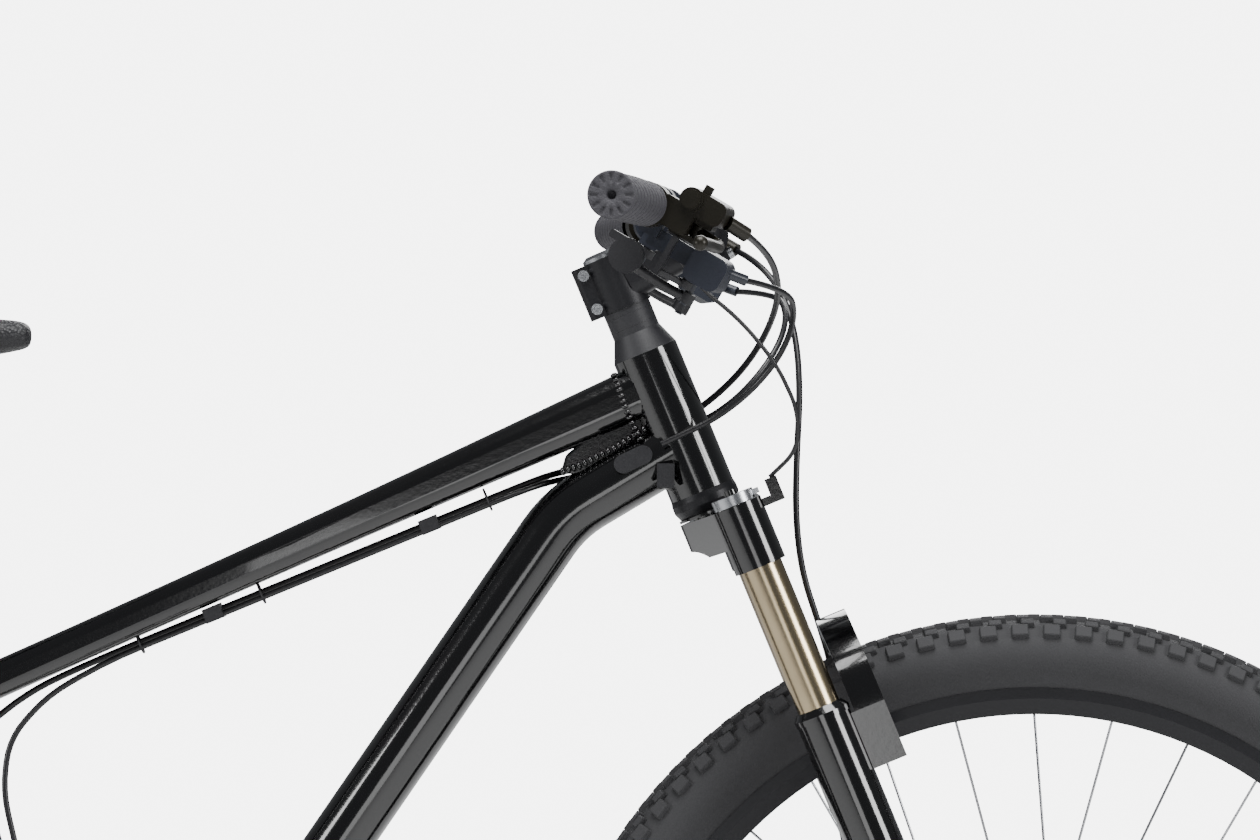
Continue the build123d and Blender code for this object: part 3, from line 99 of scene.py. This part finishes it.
def node(tree, kind, settings=None, **links):
    """Adds one node with its settings, and joins sockets that are given by name."""
    made = tree.nodes.new(kind)
    for name, value in (settings or {}).items():
        if name in made.inputs:
            made.inputs[name].default_value = value
        else:
            setattr(made, name, value)
    for name, source in links.items():
        tree.links.new(source, made.inputs[name.replace("_", " ")])
    return made


studio = bpy.data.worlds.new("studio")
bpy.context.scene.world = studio
studio.use_nodes = True
studio.node_tree.nodes.clear()
surround = node(studio.node_tree, "ShaderNodeBackground", {"Color": linear("#dfe2e6"), "Strength": 0.22})
paper = node(studio.node_tree, "ShaderNodeBackground", {"Color": linear("#ffffff"), "Strength": 6.0})
ray = node(studio.node_tree, "ShaderNodeLightPath")
shown = node(studio.node_tree, "ShaderNodeMixShader")
studio.node_tree.links.new(ray.outputs["Is Camera Ray"], shown.inputs[0])
studio.node_tree.links.new(surround.outputs[0], shown.inputs[1])
studio.node_tree.links.new(paper.outputs[0], shown.inputs[2])
out = node(studio.node_tree, "ShaderNodeOutputWorld")
studio.node_tree.links.new(shown.outputs[0], out.inputs["Surface"])

bpy.ops.mesh.primitive_circle_add(vertices=96, radius=3.0, fill_type="NGON", location=(0, 0, -0.0005))
floor = bpy.context.object
floor.name = "studio_floor"
floor_paint = bpy.data.materials.new("pale_studio_floor")
floor_paint.use_nodes = True
floor_paint.node_tree.nodes["Principled BSDF"].inputs["Base Color"].default_value = linear("#f4f4f4")
floor_paint.node_tree.nodes["Principled BSDF"].inputs["Roughness"].default_value = 0.85
floor.data.materials.append(floor_paint)

for name, place, size, power in (
    ("overhead_softbox", (0.3, -0.9, 3.2), 1.8, 110.0),
    ("front_softbox", (3.0, -1.8, 1.7), 1.1, 60.0),
    ("rear_softbox", (-2.8, -1.6, 1.6), 1.1, 48.0),
    ("low_fill", (0.2, -3.6, 0.25), 1.0, 9.0),
    ("far_rim", (0.6, 2.8, 2.4), 1.8, 55.0),
):
    bpy.ops.object.light_add(type="AREA", location=place)
    lamp = bpy.context.object
    lamp.name = name
    lamp.data.size = size
    lamp.data.energy = power
    target = Vector((0.15, 0, 0.75))
    lamp.rotation_euler = (target - Vector(place)).to_track_quat("-Z", "Y").to_euler()


# Gloss black paint: a sprayed, clear-coated enamel on the aluminium frame and on the cast
# fork. It has a deep even black, a sharp reflection and faint orange peel.


def surface(name, colour, rough, metallic=0.0, worn=None, rough_spread=0.06, patch_mm=60.0,
            grain_mm=0.6, grain_depth=0.1, coat=0.0, stretch=(1, 1, 1), grain_kind="noise"):
    """A moulded, painted or machined surface: colour that varies in patches, and fine grain."""
    made = bpy.data.materials.new(name)
    made.use_nodes = True
    tree = made.node_tree
    shader = tree.nodes["Principled BSDF"]
    where = node(tree, "ShaderNodeTexCoord")
    patches = node(tree, "ShaderNodeTexNoise", {"Scale": 1000 / patch_mm, "Detail": 5.0},
                   Vector=where.outputs["Object"])
    tint = node(tree, "ShaderNodeMix", {"data_type": "RGBA"})
    tint.inputs["A"].default_value = linear(colour)
    tint.inputs["B"].default_value = linear(worn or colour)
    tree.links.new(patches.outputs["Fac"], tint.inputs["Factor"])
    tree.links.new(tint.outputs["Result"], shader.inputs["Base Color"])
    rub = node(tree, "ShaderNodeMapRange", {"To Min": rough - rough_spread, "To Max": rough + rough_spread},
               Value=patches.outputs["Fac"])
    tree.links.new(rub.outputs["Result"], shader.inputs["Roughness"])
    run = node(tree, "ShaderNodeMapping", {"Scale": stretch}, Vector=where.outputs["Object"])
    if grain_kind == "cells":
        grain = node(tree, "ShaderNodeTexVoronoi", {"Scale": 1000 / grain_mm}, Vector=run.outputs["Vector"])
        height = grain.outputs["Distance"]
    else:
        grain = node(tree, "ShaderNodeTexNoise", {"Scale": 1000 / grain_mm, "Detail": 3.0},
                     Vector=run.outputs["Vector"])
        height = grain.outputs["Fac"]
    bump = node(tree, "ShaderNodeBump", {"Strength": grain_depth, "Distance": grain_mm / 1000}, Height=height)
    tree.links.new(bump.outputs["Normal"], shader.inputs["Normal"])
    shader.inputs["Metallic"].default_value = metallic
    shader.inputs["Coat Weight"].default_value = coat
    shader.inputs["Coat Roughness"].default_value = 0.04
    return made


def paint(finish, *names):
    """Gives one finish to CAD nodes."""
    for name in names:
        mesh = nodes[name].data
        mesh.materials.clear()
        mesh.materials.append(finish)


# Orange peel is about 3 mm across on sprayed tubes, and too shallow to break a reflection.
gloss_black = surface("gloss_black_enamel", "#030304", 0.13, worn="#060607", rough_spread=0.04,
                      patch_mm=90, grain_mm=3.0, grain_depth=0.018, coat=0.7)
paint(gloss_black, "frame_main", "frame_stays", "fork_crown", "fork_lowers")


# Satin black aluminium: forged, blasted and anodised, on the stem, bar, headset and hubs. The
# blasting leaves a fine even tooth of about 0.8 mm that spreads each highlight.

satin_black = surface("satin_anodised_aluminium", "#131316", 0.4, metallic=0.35, worn="#1b1b1f",
                      grain_mm=0.8, grain_depth=0.08)
paint(satin_black, "headset", "stem", "stem_faceplate", "handlebar", "seatpost", "seat_clamp",
      "front_rim", "rear_rim", "front_hub", "rear_hub", "bottom_bracket", "crank_arms")
cover_black = surface("matt_moulded_spacer", "#1c1c1f", 0.5, worn="#232327", grain_mm=1.0, grain_depth=0.1)
paint(cover_black, "headset_spacers")


# Stanchions: steel tube, ground round the axis and plated in a warm champagne nickel. The
# grinding shows as faint rings that pull the highlight out along the tube.

nickel = surface("ground_champagne_nickel", "#b5a68a", 0.2, metallic=1.0, worn="#a39478",
                 rough_spread=0.05, patch_mm=40, grain_mm=1.2, grain_depth=0.03, stretch=(1, 1, 6))
paint(nickel, "stanchions")


# Bright metal: turned steel axles and bolts, stamped rotors and chain, and stainless spokes.
# Stamped pieces have a rolled grain and a darker oil film on the moving chain.

bright_steel = surface("turned_bright_steel", "#b9bbbe", 0.26, metallic=1.0, worn="#a3a5a9",
                       patch_mm=25, grain_mm=0.7, grain_depth=0.05)
oiled_steel = surface("oiled_chain_steel", "#77756f", 0.34, metallic=1.0, worn="#4d4a45",
                      patch_mm=18, grain_mm=0.9, grain_depth=0.08)
stamped_steel = surface("brushed_rotor_steel", "#a5a7aa", 0.32, metallic=1.0, worn="#8d8f93",
                        patch_mm=30, grain_mm=0.8, grain_depth=0.06, stretch=(1, 8, 1))
paint(bright_steel, "cockpit_bolts", "front_axle", "rear_axle", "front_qr_lever", "rear_qr_lever",
      "front_spokes", "rear_spokes", "saddle_rails", "lockout_spool")
paint(oiled_steel, "chain", "cassette")
paint(stamped_steel, "front_rotor", "rear_rotor", "chainrings", "derailleur_cage", "front_derailleur_cage")


# Moulded plastic and cast control bodies: matt black nylon on the pods, pedals and pulleys,
# a blue-grey cover on the shifters, and a black anodised brake body whose olive tint is a painted reflection.

black_nylon = surface("moulded_black_nylon", "#151518", 0.48, worn="#1e1e22", grain_mm=1.1, grain_depth=0.14)
cover_grey = surface("blue_grey_pod_cover", "#1f222b", 0.38, worn="#272b36", grain_mm=0.9, grain_depth=0.08)
# The brake parts are black anodised; the olive tint in this colour is a painted reflection, not the finish.
black_with_painted_olive_reflection = surface("black_anodised_painted_olive_reflection", "#1d1b16", 0.34, metallic=0.4, worn="#26231b",
                      grain_mm=0.8, grain_depth=0.07)
paint(black_nylon, "left_thumb_lever", "right_thumb_lever", "left_release_lever", "right_release_lever",
      "lockout_lever", "upper_pulley", "lower_pulley", "pedal_left", "pedal_right",
      "derailleur_body", "front_derailleur_body", "cable_fittings")
paint(cover_grey, "shifter_pods")
paint(black_with_painted_olive_reflection, "brake_bodies", "brake_lever_left", "brake_lever_right", "front_caliper", "rear_caliper")


# Tyres: a moulded carcass of charcoal rubber with raised knobs. Square shoulder knobs lean
# outwards, smaller ones stand inside them, and a close-set pair of rows runs down the middle.

tyre_rubber = surface("moulded_tyre_rubber", "#2b2b2d", 0.78, worn="#343436", patch_mm=35,
                      grain_mm=1.4, grain_depth=0.25)
half_width = 0.028
wall = 0.003
knob_height = 0.0042
bead_half, bead_radius = 0.0125, 0.3175
shoulder_knobs = 96
centre_knobs = 132


def knob(name, size, lean, out):
    """One block of tread: a cube narrowed at its top and rounded, standing on the carcass."""
    bpy.ops.mesh.primitive_cube_add(size=1.0)
    block = bpy.context.object
    block.name = name
    block.data.transform(Matrix.Diagonal((*size, 1)))
    for corner in block.data.vertices:
        if corner.co.z > 0:
            corner.co.x *= 0.84
            corner.co.y *= 0.84
    shape = block.modifiers.new("rounding", "BEVEL")
    shape.width = 0.0006
    shape.segments = 1
    bpy.ops.object.modifier_apply(modifier="rounding")
    block.data.transform(Matrix.Translation((0, 0, out)))
    block.data.transform(Matrix.Rotation(lean, 4, "X"))
    return block


def knobbly_tyre(prefix, body):
    low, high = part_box(f"{prefix}_tyre")
    centre = (low + high) / 2
    outer = (high.z - low.z) / 2
    crown = outer - half_width
    carcass = half_width - knob_height
    steps = 24
    open_angle = math.radians(126)
    points = [(-bead_half, bead_radius - 0.003), (-bead_half - 0.0005, bead_radius + 0.003)]
    for i in range(steps + 1):
        angle = -open_angle + 2 * open_angle * i / steps
        points.append((carcass * math.sin(angle), crown + carcass * math.cos(angle)))
    points += [(bead_half + 0.0005, bead_radius + 0.003), (bead_half, bead_radius - 0.003)]
    points.append((bead_half - wall, bead_radius - 0.003))
    for i in range(steps, -1, -1):
        angle = -open_angle + 2 * open_angle * i / steps
        inside = carcass - wall
        points.append((inside * math.sin(angle), crown + inside * math.cos(angle)))
    points.append((-bead_half + wall, bead_radius - 0.003))
    mesh = bpy.data.meshes.new(f"{prefix}_tyre_tread")
    edges = [(i, (i + 1) % len(points)) for i in range(len(points))]
    mesh.from_pydata([(0.0, y, z) for y, z in points], edges, [])
    tread = bpy.data.objects.new(f"{prefix}_tyre_tread", mesh)
    bpy.context.scene.collection.objects.link(tread)
    bpy.ops.object.select_all(action="DESELECT")
    tread.select_set(True)
    bpy.context.view_layer.objects.active = tread
    bpy.ops.object.mode_set(mode="EDIT")
    bpy.ops.mesh.select_all(action="SELECT")
    bpy.ops.mesh.spin(steps=192, angle=2 * math.pi, center=(0, 0, 0), axis=(0, 1, 0))
    bpy.ops.mesh.select_all(action="SELECT")
    bpy.ops.mesh.remove_doubles(threshold=0.00002)
    bpy.ops.mesh.normals_make_consistent(inside=False)
    bpy.ops.mesh.faces_shade_smooth()
    bpy.ops.object.mode_set(mode="OBJECT")
    pieces = [tread]
    rows = (
        (shoulder_knobs, (0.0142, 0.0115, knob_height + 0.0045), 50.0, 0.0),
        (shoulder_knobs, (0.0142, 0.0115, knob_height + 0.0045), -50.0, 0.5),
        (centre_knobs, (0.0105, 0.0085, knob_height + 0.002), 13.0, 0.0),
        (centre_knobs, (0.0105, 0.0085, knob_height + 0.002), -13.0, 0.5),
        (shoulder_knobs, (0.011, 0.0075, knob_height + 0.0015), 31.0, 0.25),
        (shoulder_knobs, (0.011, 0.0075, knob_height + 0.0015), -31.0, 0.75),
    )
    for count, size, lean, phase in rows:
        model = knob(f"{prefix}_knob", size, -math.radians(lean), carcass + knob_height - size[2] / 2)
        model.data.transform(Matrix.Translation((0, 0, crown)))
        for i in range(count):
            copy = model.copy()
            copy.data = model.data.copy()
            copy.data.transform(Matrix.Rotation(2 * math.pi * (i + phase) / count, 4, "Y"))
            bpy.context.scene.collection.objects.link(copy)
            pieces.append(copy)
        bpy.data.objects.remove(model)
    bpy.ops.object.select_all(action="DESELECT")
    for piece in pieces:
        piece.select_set(True)
    bpy.context.view_layer.objects.active = tread
    bpy.ops.object.join()
    tread.data.transform(Matrix.Translation(centre))
    tread.data.materials.clear()
    tread.data.materials.append(tyre_rubber)
    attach(tread, body)
    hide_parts(f"{prefix}_tyre")


knobbly_tyre("front", "front_wheel")
knobbly_tyre("rear", "rear_wheel")


# Grips: soft rubber sleeves moulded over a plastic core. Wavy grooves run round each one, the
# skin is pebbled, and the outer end is a cap with a lip, a ring of notches and a dimple.

grip_rubber = surface("moulded_grip_rubber", "#37363b", 0.7, worn="#403f44", patch_mm=14,
                      grain_mm=1.3, grain_depth=0.35, grain_kind="cells")
grip_radius, grip_length = 0.0158, 0.133
grip_rings, grip_sides = 120, 96
cap_notches = 12
cap_rings = (
    (1.05, 0.0004, 0), (1.05, 0.0018, 0), (0.97, 0.0004, 0),
    (0.93, 0, 0.0011), (0.62, 0, 0.0011), (0.58, 0, 0),
    (0.26, 0, 0), (0.2, -0.0016, 0), (0.17, -0.0035, 0), (0.01, 0, 0),
)
waves, wave_swing, groove_gap, groove_depth, groove_width = 3, 0.0045, 0.0125, 0.0013, 0.0013


def grip_radius_at(turn, along):
    """The sleeve's radius: full, less a groove where a wavy line passes."""
    if along < 0.006:
        return 0.0162
    phase = (along + wave_swing * math.sin(waves * turn)) % groove_gap
    off = min(phase, groove_gap - phase)
    cut = max(0.0, 1 - off / groove_width)
    swell = 0.0006 * math.sin(math.pi * along / grip_length)
    return grip_radius + swell - groove_depth * cut * cut * (3 - 2 * cut)


def rubber_grip(name, inner_end, outer_end):
    """A sleeve from the grip's inner end to its outer end, closed by its cap."""
    bpy.ops.mesh.primitive_grid_add(x_subdivisions=grip_sides, y_subdivisions=grip_rings, size=1.0)
    sleeve = bpy.context.object
    sleeve.name = name
    for v in sleeve.data.vertices:
        turn = 2 * math.pi * (v.co.x + 0.5)
        along = (v.co.y + 0.5) * grip_length
        radius = grip_radius_at(turn, along)
        v.co = (radius * math.cos(turn), radius * math.sin(turn), along)
    bpy.ops.object.mode_set(mode="EDIT")
    bpy.ops.mesh.select_all(action="SELECT")
    bpy.ops.mesh.remove_doubles(threshold=0.00002)
    bpy.ops.object.mode_set(mode="OBJECT")
    level = grip_length
    for share, rise, notch in cap_rings:
        bpy.ops.object.mode_set(mode="EDIT")
        bpy.ops.mesh.select_mode(type="EDGE")
        bpy.ops.mesh.select_all(action="DESELECT")
        bpy.ops.object.mode_set(mode="OBJECT")
        uses = {}
        for face in sleeve.data.polygons:
            for key in face.edge_keys:
                uses[key] = uses.get(key, 0) + 1
        for e in sleeve.data.edges:
            e.select = uses.get(e.key) == 1 and sleeve.data.vertices[e.vertices[0]].co.z > grip_length / 2
        bpy.ops.object.mode_set(mode="EDIT")
        bpy.ops.mesh.extrude_edges_move()
        bpy.ops.object.mode_set(mode="OBJECT")
        level += rise
        for v in sleeve.data.vertices:
            if v.select:
                turn = math.atan2(v.co.y, v.co.x)
                cut = notch if math.cos(cap_notches * turn) > 0.35 else 0.0
                out = grip_radius * share
                v.co = (out * math.cos(turn), out * math.sin(turn), level - cut)
    bpy.ops.object.mode_set(mode="EDIT")
    bpy.ops.mesh.select_all(action="SELECT")
    bpy.ops.mesh.normals_make_consistent(inside=False)
    bpy.ops.mesh.faces_shade_smooth()
    bpy.ops.object.mode_set(mode="OBJECT")
    aim = (outer_end - inner_end).to_track_quat("Z", "X").to_matrix().to_4x4()
    sleeve.data.transform(Matrix.Translation(inner_end) @ aim)
    sleeve.data.materials.clear()
    sleeve.data.materials.append(grip_rubber)
    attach(sleeve, "steering")
    return sleeve


mounts = {mount["name"]: mount for mount in frame["record"]["mounts"]}
for side in ("left", "right"):
    middle, axis = Vector(mounts[f"{side}_grip"]["pos_m"]), Vector(mounts[f"{side}_grip"]["axis"])
    sleeve = rubber_grip(f"{side}_grip_sleeve", middle - axis * 0.065, middle + axis * 0.068)
    if side == "right":
        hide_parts("grips")


# Hoses: nylon-sheathed brake hoses and shift housings. They bow forward out of the controls
# and are built as fixed tubes along their listed routes.

hose_black = surface("satin_hose_sheath", "#0f0f12", 0.36, worn="#17171a", patch_mm=30,
                     grain_mm=0.9, grain_depth=0.05)
paint(hose_black, "frame_hoses", "lockout_cable")


def hose(name, route, radius):
    """A round tube along a smooth curve through its route, given in millimetres."""
    line = bpy.data.curves.new(name, "CURVE")
    line.dimensions = "3D"
    spline = line.splines.new("NURBS")
    spline.points.add(len(route) - 1)
    for point, place in zip(spline.points, route):
        point.co = (place[0] / 1000, place[1] / 1000, place[2] / 1000, 1.0)
    spline.order_u = 3
    spline.use_endpoint_u = True
    spline.resolution_u = 10
    middle = bpy.data.objects.new(name + "_line", line)
    bpy.context.scene.collection.objects.link(middle)
    bpy.context.view_layer.update()
    track = bpy.data.meshes.new_from_object(middle)
    path = [v.co.copy() for v in track.vertices]
    line.bevel_depth = radius
    line.bevel_resolution = 4
    line.use_fill_caps = True
    bpy.context.view_layer.update()
    tube = bpy.data.objects.new(name, bpy.data.meshes.new_from_object(middle))
    bpy.context.scene.collection.objects.link(tube)
    bpy.data.objects.remove(middle)
    tube.data.materials.clear()
    tube.data.materials.append(hose_black)
    for face in tube.data.polygons:
        face.use_smooth = True
    length = sum((b - a).length for a, b in zip(path, path[1:]))
    return tube, path, length


crossing = [
    ("rear_brake_hose", 0.0025, [
        (356.2, -178.3, 1017.3), (366, -140, 1012), (379, -98, 997), (383, -52, 976), (375, -10, 950),
        (357, 22, 922), (330, 38, 897), (298, 40, 877), (268, 35, 863), (253, 29.5, 856.75)]),
    ("front_shift_housing", 0.0023, [
        (356.2, 163.2, 985.2), (386, 128, 983), (393, 96, 968), (388, 64, 946), (371, 46, 920),
        (347, 42, 896), (318, 47, 880), (288, 47, 866), (264, 40, 855), (252, 34.5, 850)]),
    ("rear_shift_housing", 0.0023, [
        (356.2, -163.2, 985.2), (388, -120, 980), (394, -84, 962), (386, -54, 936), (366, -40, 910),
        (340, -38, 889), (316, -39, 877), (297, -37.5, 868.5)]),
]
for name, radius, route in crossing:
    tube, path, length = hose(name, route, radius)
    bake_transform(tube)
    if name == "rear_shift_housing":
        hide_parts("control_cables")
crown_seat = Vector((333.708, 0, 817.790))
up_steerer, ahead_of_it = Vector((-0.38188, 0, 0.92421)), Vector((0.92421, 0, 0.38188))
front_brake_route = [
    (356.2, 178.3, 1017.3), (371, 154, 1009), (391, 137, 984), (401, 115, 948), (403, 97, 905),
    (400, 86, 858), (399, 80, 812), (404, 80, 770)]
for ahead, across, up in ((44, 80, -110), (40, 86, -150), (25, 90.5, -190), (6, 91, -235), (-4, 89, -285),
                          (-12, 84, -335), (-22, 72, -380), (-30, 58, -418)):
    beside_fork = crown_seat + ahead_of_it * ahead + Vector((0, across, 0)) + up_steerer * up
    front_brake_route.append(tuple(beside_fork))
tube, path, length = hose("front_brake_hose_tube", front_brake_route, 0.0025)
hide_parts("front_brake_hose")
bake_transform(tube)


# Welds: the aluminium tubes are joined by hand with a filler rod, and each dab leaves a
# rounded ripple. A flat gusset fills the throat between the top tube and the down tube, and
# a bead runs along its lower edge and down each side of the head tube's joint.


def bead(name, route, radius, step):
    """A row of overlapping rounded dabs along a route, joined into one piece."""
    dabs = []
    places = [Vector(p) / 1000 for p in route]
    for a, b in zip(places, places[1:]):
        count = max(1, round((b - a).length / step))
        for i in range(count):
            dabs.append((a.lerp(b, i / count), (b - a).normalized()))
    dabs.append((places[-1], (places[-1] - places[-2]).normalized()))
    pieces = []
    for place, way in dabs:
        bpy.ops.mesh.primitive_uv_sphere_add(segments=12, ring_count=8, radius=radius)
        dab = bpy.context.object
        turn = way.to_track_quat("Z", "Y").to_matrix().to_4x4()
        dab.data.transform(Matrix.Translation(place) @ turn @ Matrix.Diagonal((1, 1, 0.62, 1)))
        pieces.append(dab)
    bpy.ops.object.select_all(action="DESELECT")
    for dab in pieces:
        dab.select_set(True)
    bpy.context.view_layer.objects.active = pieces[0]
    if len(pieces) > 1:
        bpy.ops.object.join()
    whole = bpy.context.object
    whole.name = name
    for face in whole.data.polygons:
        face.use_smooth = True
    whole.data.materials.append(gloss_black)
    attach(whole, "frame")
    return whole


throat_outline = [
    (222, 846), (236, 846), (262, 858), (290, 874),
    (290, 896), (262, 882), (238, 870), (226, 860),
]
half_thick = 9.0
bpy.ops.mesh.primitive_circle_add(vertices=len(throat_outline), radius=1.0, fill_type="NGON")
throat = bpy.context.object
throat.name = "throat_gusset"
for v, (x, z) in zip(throat.data.vertices, throat_outline):
    v.co = (x / 1000, half_thick / 1000, z / 1000)
bpy.ops.object.mode_set(mode="EDIT")
bpy.ops.mesh.select_all(action="SELECT")
bpy.ops.mesh.extrude_region_move(TRANSFORM_OT_translate={"value": (0, -2 * half_thick / 1000, 0)})
bpy.ops.mesh.select_all(action="SELECT")
bpy.ops.mesh.normals_make_consistent(inside=False)
bpy.ops.object.mode_set(mode="OBJECT")
edge = throat.modifiers.new("eased", "BEVEL")
edge.width = 0.002
edge.segments = 2
bpy.ops.object.modifier_apply(modifier="eased")
throat.data.materials.append(gloss_black)
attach(throat, "frame")
for side, y in (("right", -1), ("left", 1)):
    bead(f"throat_weld_{side}", [(224, y * 9.5, 848), (236, y * 10.5, 852), (262, y * 12, 865),
                                 (284, y * 14, 879)], 0.0032, 0.0046)
    crown_line = [(281, y * 16, 872), (275, y * 15.5, 884), (270, y * 17, 896), (266, y * 17, 908),
                  (262, y * 12, 919)]
    bead(f"head_weld_{side}", crown_line, 0.003, 0.0046)


# Zip ties: nylon straps round the pair of hoses under the top tube. Each is a thin band with
# its square locking head on the drive side.


def zip_tie(name, place, way, reach, body):
    """A band round a pair of hoses with its head on the drive side."""
    bpy.ops.mesh.primitive_torus_add(
        major_radius=reach, minor_radius=0.0009, major_segments=28, minor_segments=6)
    band = bpy.context.object
    band.name = name
    bpy.ops.mesh.primitive_cube_add(size=1.0)
    head = bpy.context.object
    head.data.transform(Matrix.Translation((0, -reach, 0)) @ Matrix.Diagonal((0.0045, 0.003, 0.004, 1)))
    bpy.ops.object.select_all(action="DESELECT")
    band.select_set(True)
    head.select_set(True)
    bpy.context.view_layer.objects.active = band
    bpy.ops.object.join()
    turn = Vector(way).to_track_quat("Z", "X").to_matrix().to_4x4()
    band.data.transform(Matrix.Translation(Vector(place)) @ turn)
    for face in band.data.polygons:
        face.use_smooth = True
    band.data.materials.append(black_nylon)
    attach(band, body)
    return band


run_way = (0.92, 0, 0.378)
for name, x in (("front_clip_tie", 0.168), ("rear_clip_tie", 0.0), ("seat_clip_tie", -0.09)):
    share = (x + 0.12) / 0.31
    zip_tie(name, (x, 0, 0.7088 + share * 0.1272), run_way, 0.0082, "frame")


# The saddle: foam under black synthetic leather, rounded at its edges, with a shallow channel
# pressed along the middle of its top.

leather = surface("grained_synthetic_leather", "#17171a", 0.5, worn="#1f1f23", patch_mm=50,
                  grain_mm=2.2, grain_depth=0.35, grain_kind="cells")
bpy.ops.object.select_all(action="DESELECT")
pad = nodes["saddle"].copy()
pad.data = nodes["saddle"].data.copy()
pad.name = "saddle_pad"
pad.parent = None
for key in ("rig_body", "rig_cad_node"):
    if key in pad:
        del pad[key]
bpy.context.scene.collection.objects.link(pad)
pad.select_set(True)
bpy.context.view_layer.objects.active = pad
bpy.ops.object.mode_set(mode="EDIT")
bpy.ops.mesh.select_all(action="SELECT")
bpy.ops.mesh.remove_doubles(threshold=0.00005)
bpy.ops.object.mode_set(mode="OBJECT")
voxels = pad.modifiers.new("voxels", "REMESH")
voxels.mode = "VOXEL"
voxels.voxel_size = 0.004
bpy.ops.object.modifier_apply(modifier="voxels")
soften = pad.modifiers.new("soften", "SMOOTH")
soften.factor = 0.6
soften.iterations = 12
bpy.ops.object.modifier_apply(modifier="soften")
low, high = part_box("saddle")
for v in pad.data.vertices:
    if v.co.z > low.z + 0.6 * (high.z - low.z):
        tail = (high.x - v.co.x) / (high.x - low.x)
        channel = math.exp(-((v.co.y / 0.009) ** 2)) * min(1.0, max(0.0, tail * 2 - 0.3))
        v.co.z -= 0.004 * channel
rounder = pad.modifiers.new("rounder", "SUBSURF")
rounder.levels = 1
rounder.render_levels = 1
bpy.ops.object.modifier_apply(modifier="rounder")
for face in pad.data.polygons:
    face.use_smooth = True
pad.data.materials.clear()
pad.data.materials.append(leather)
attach(pad, "saddle_post")
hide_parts("saddle")
paint(grip_rubber, "grips")
paint(tyre_rubber, "front_tyre", "rear_tyre")
paint(leather, "saddle")
paint(hose_black, "control_cables")
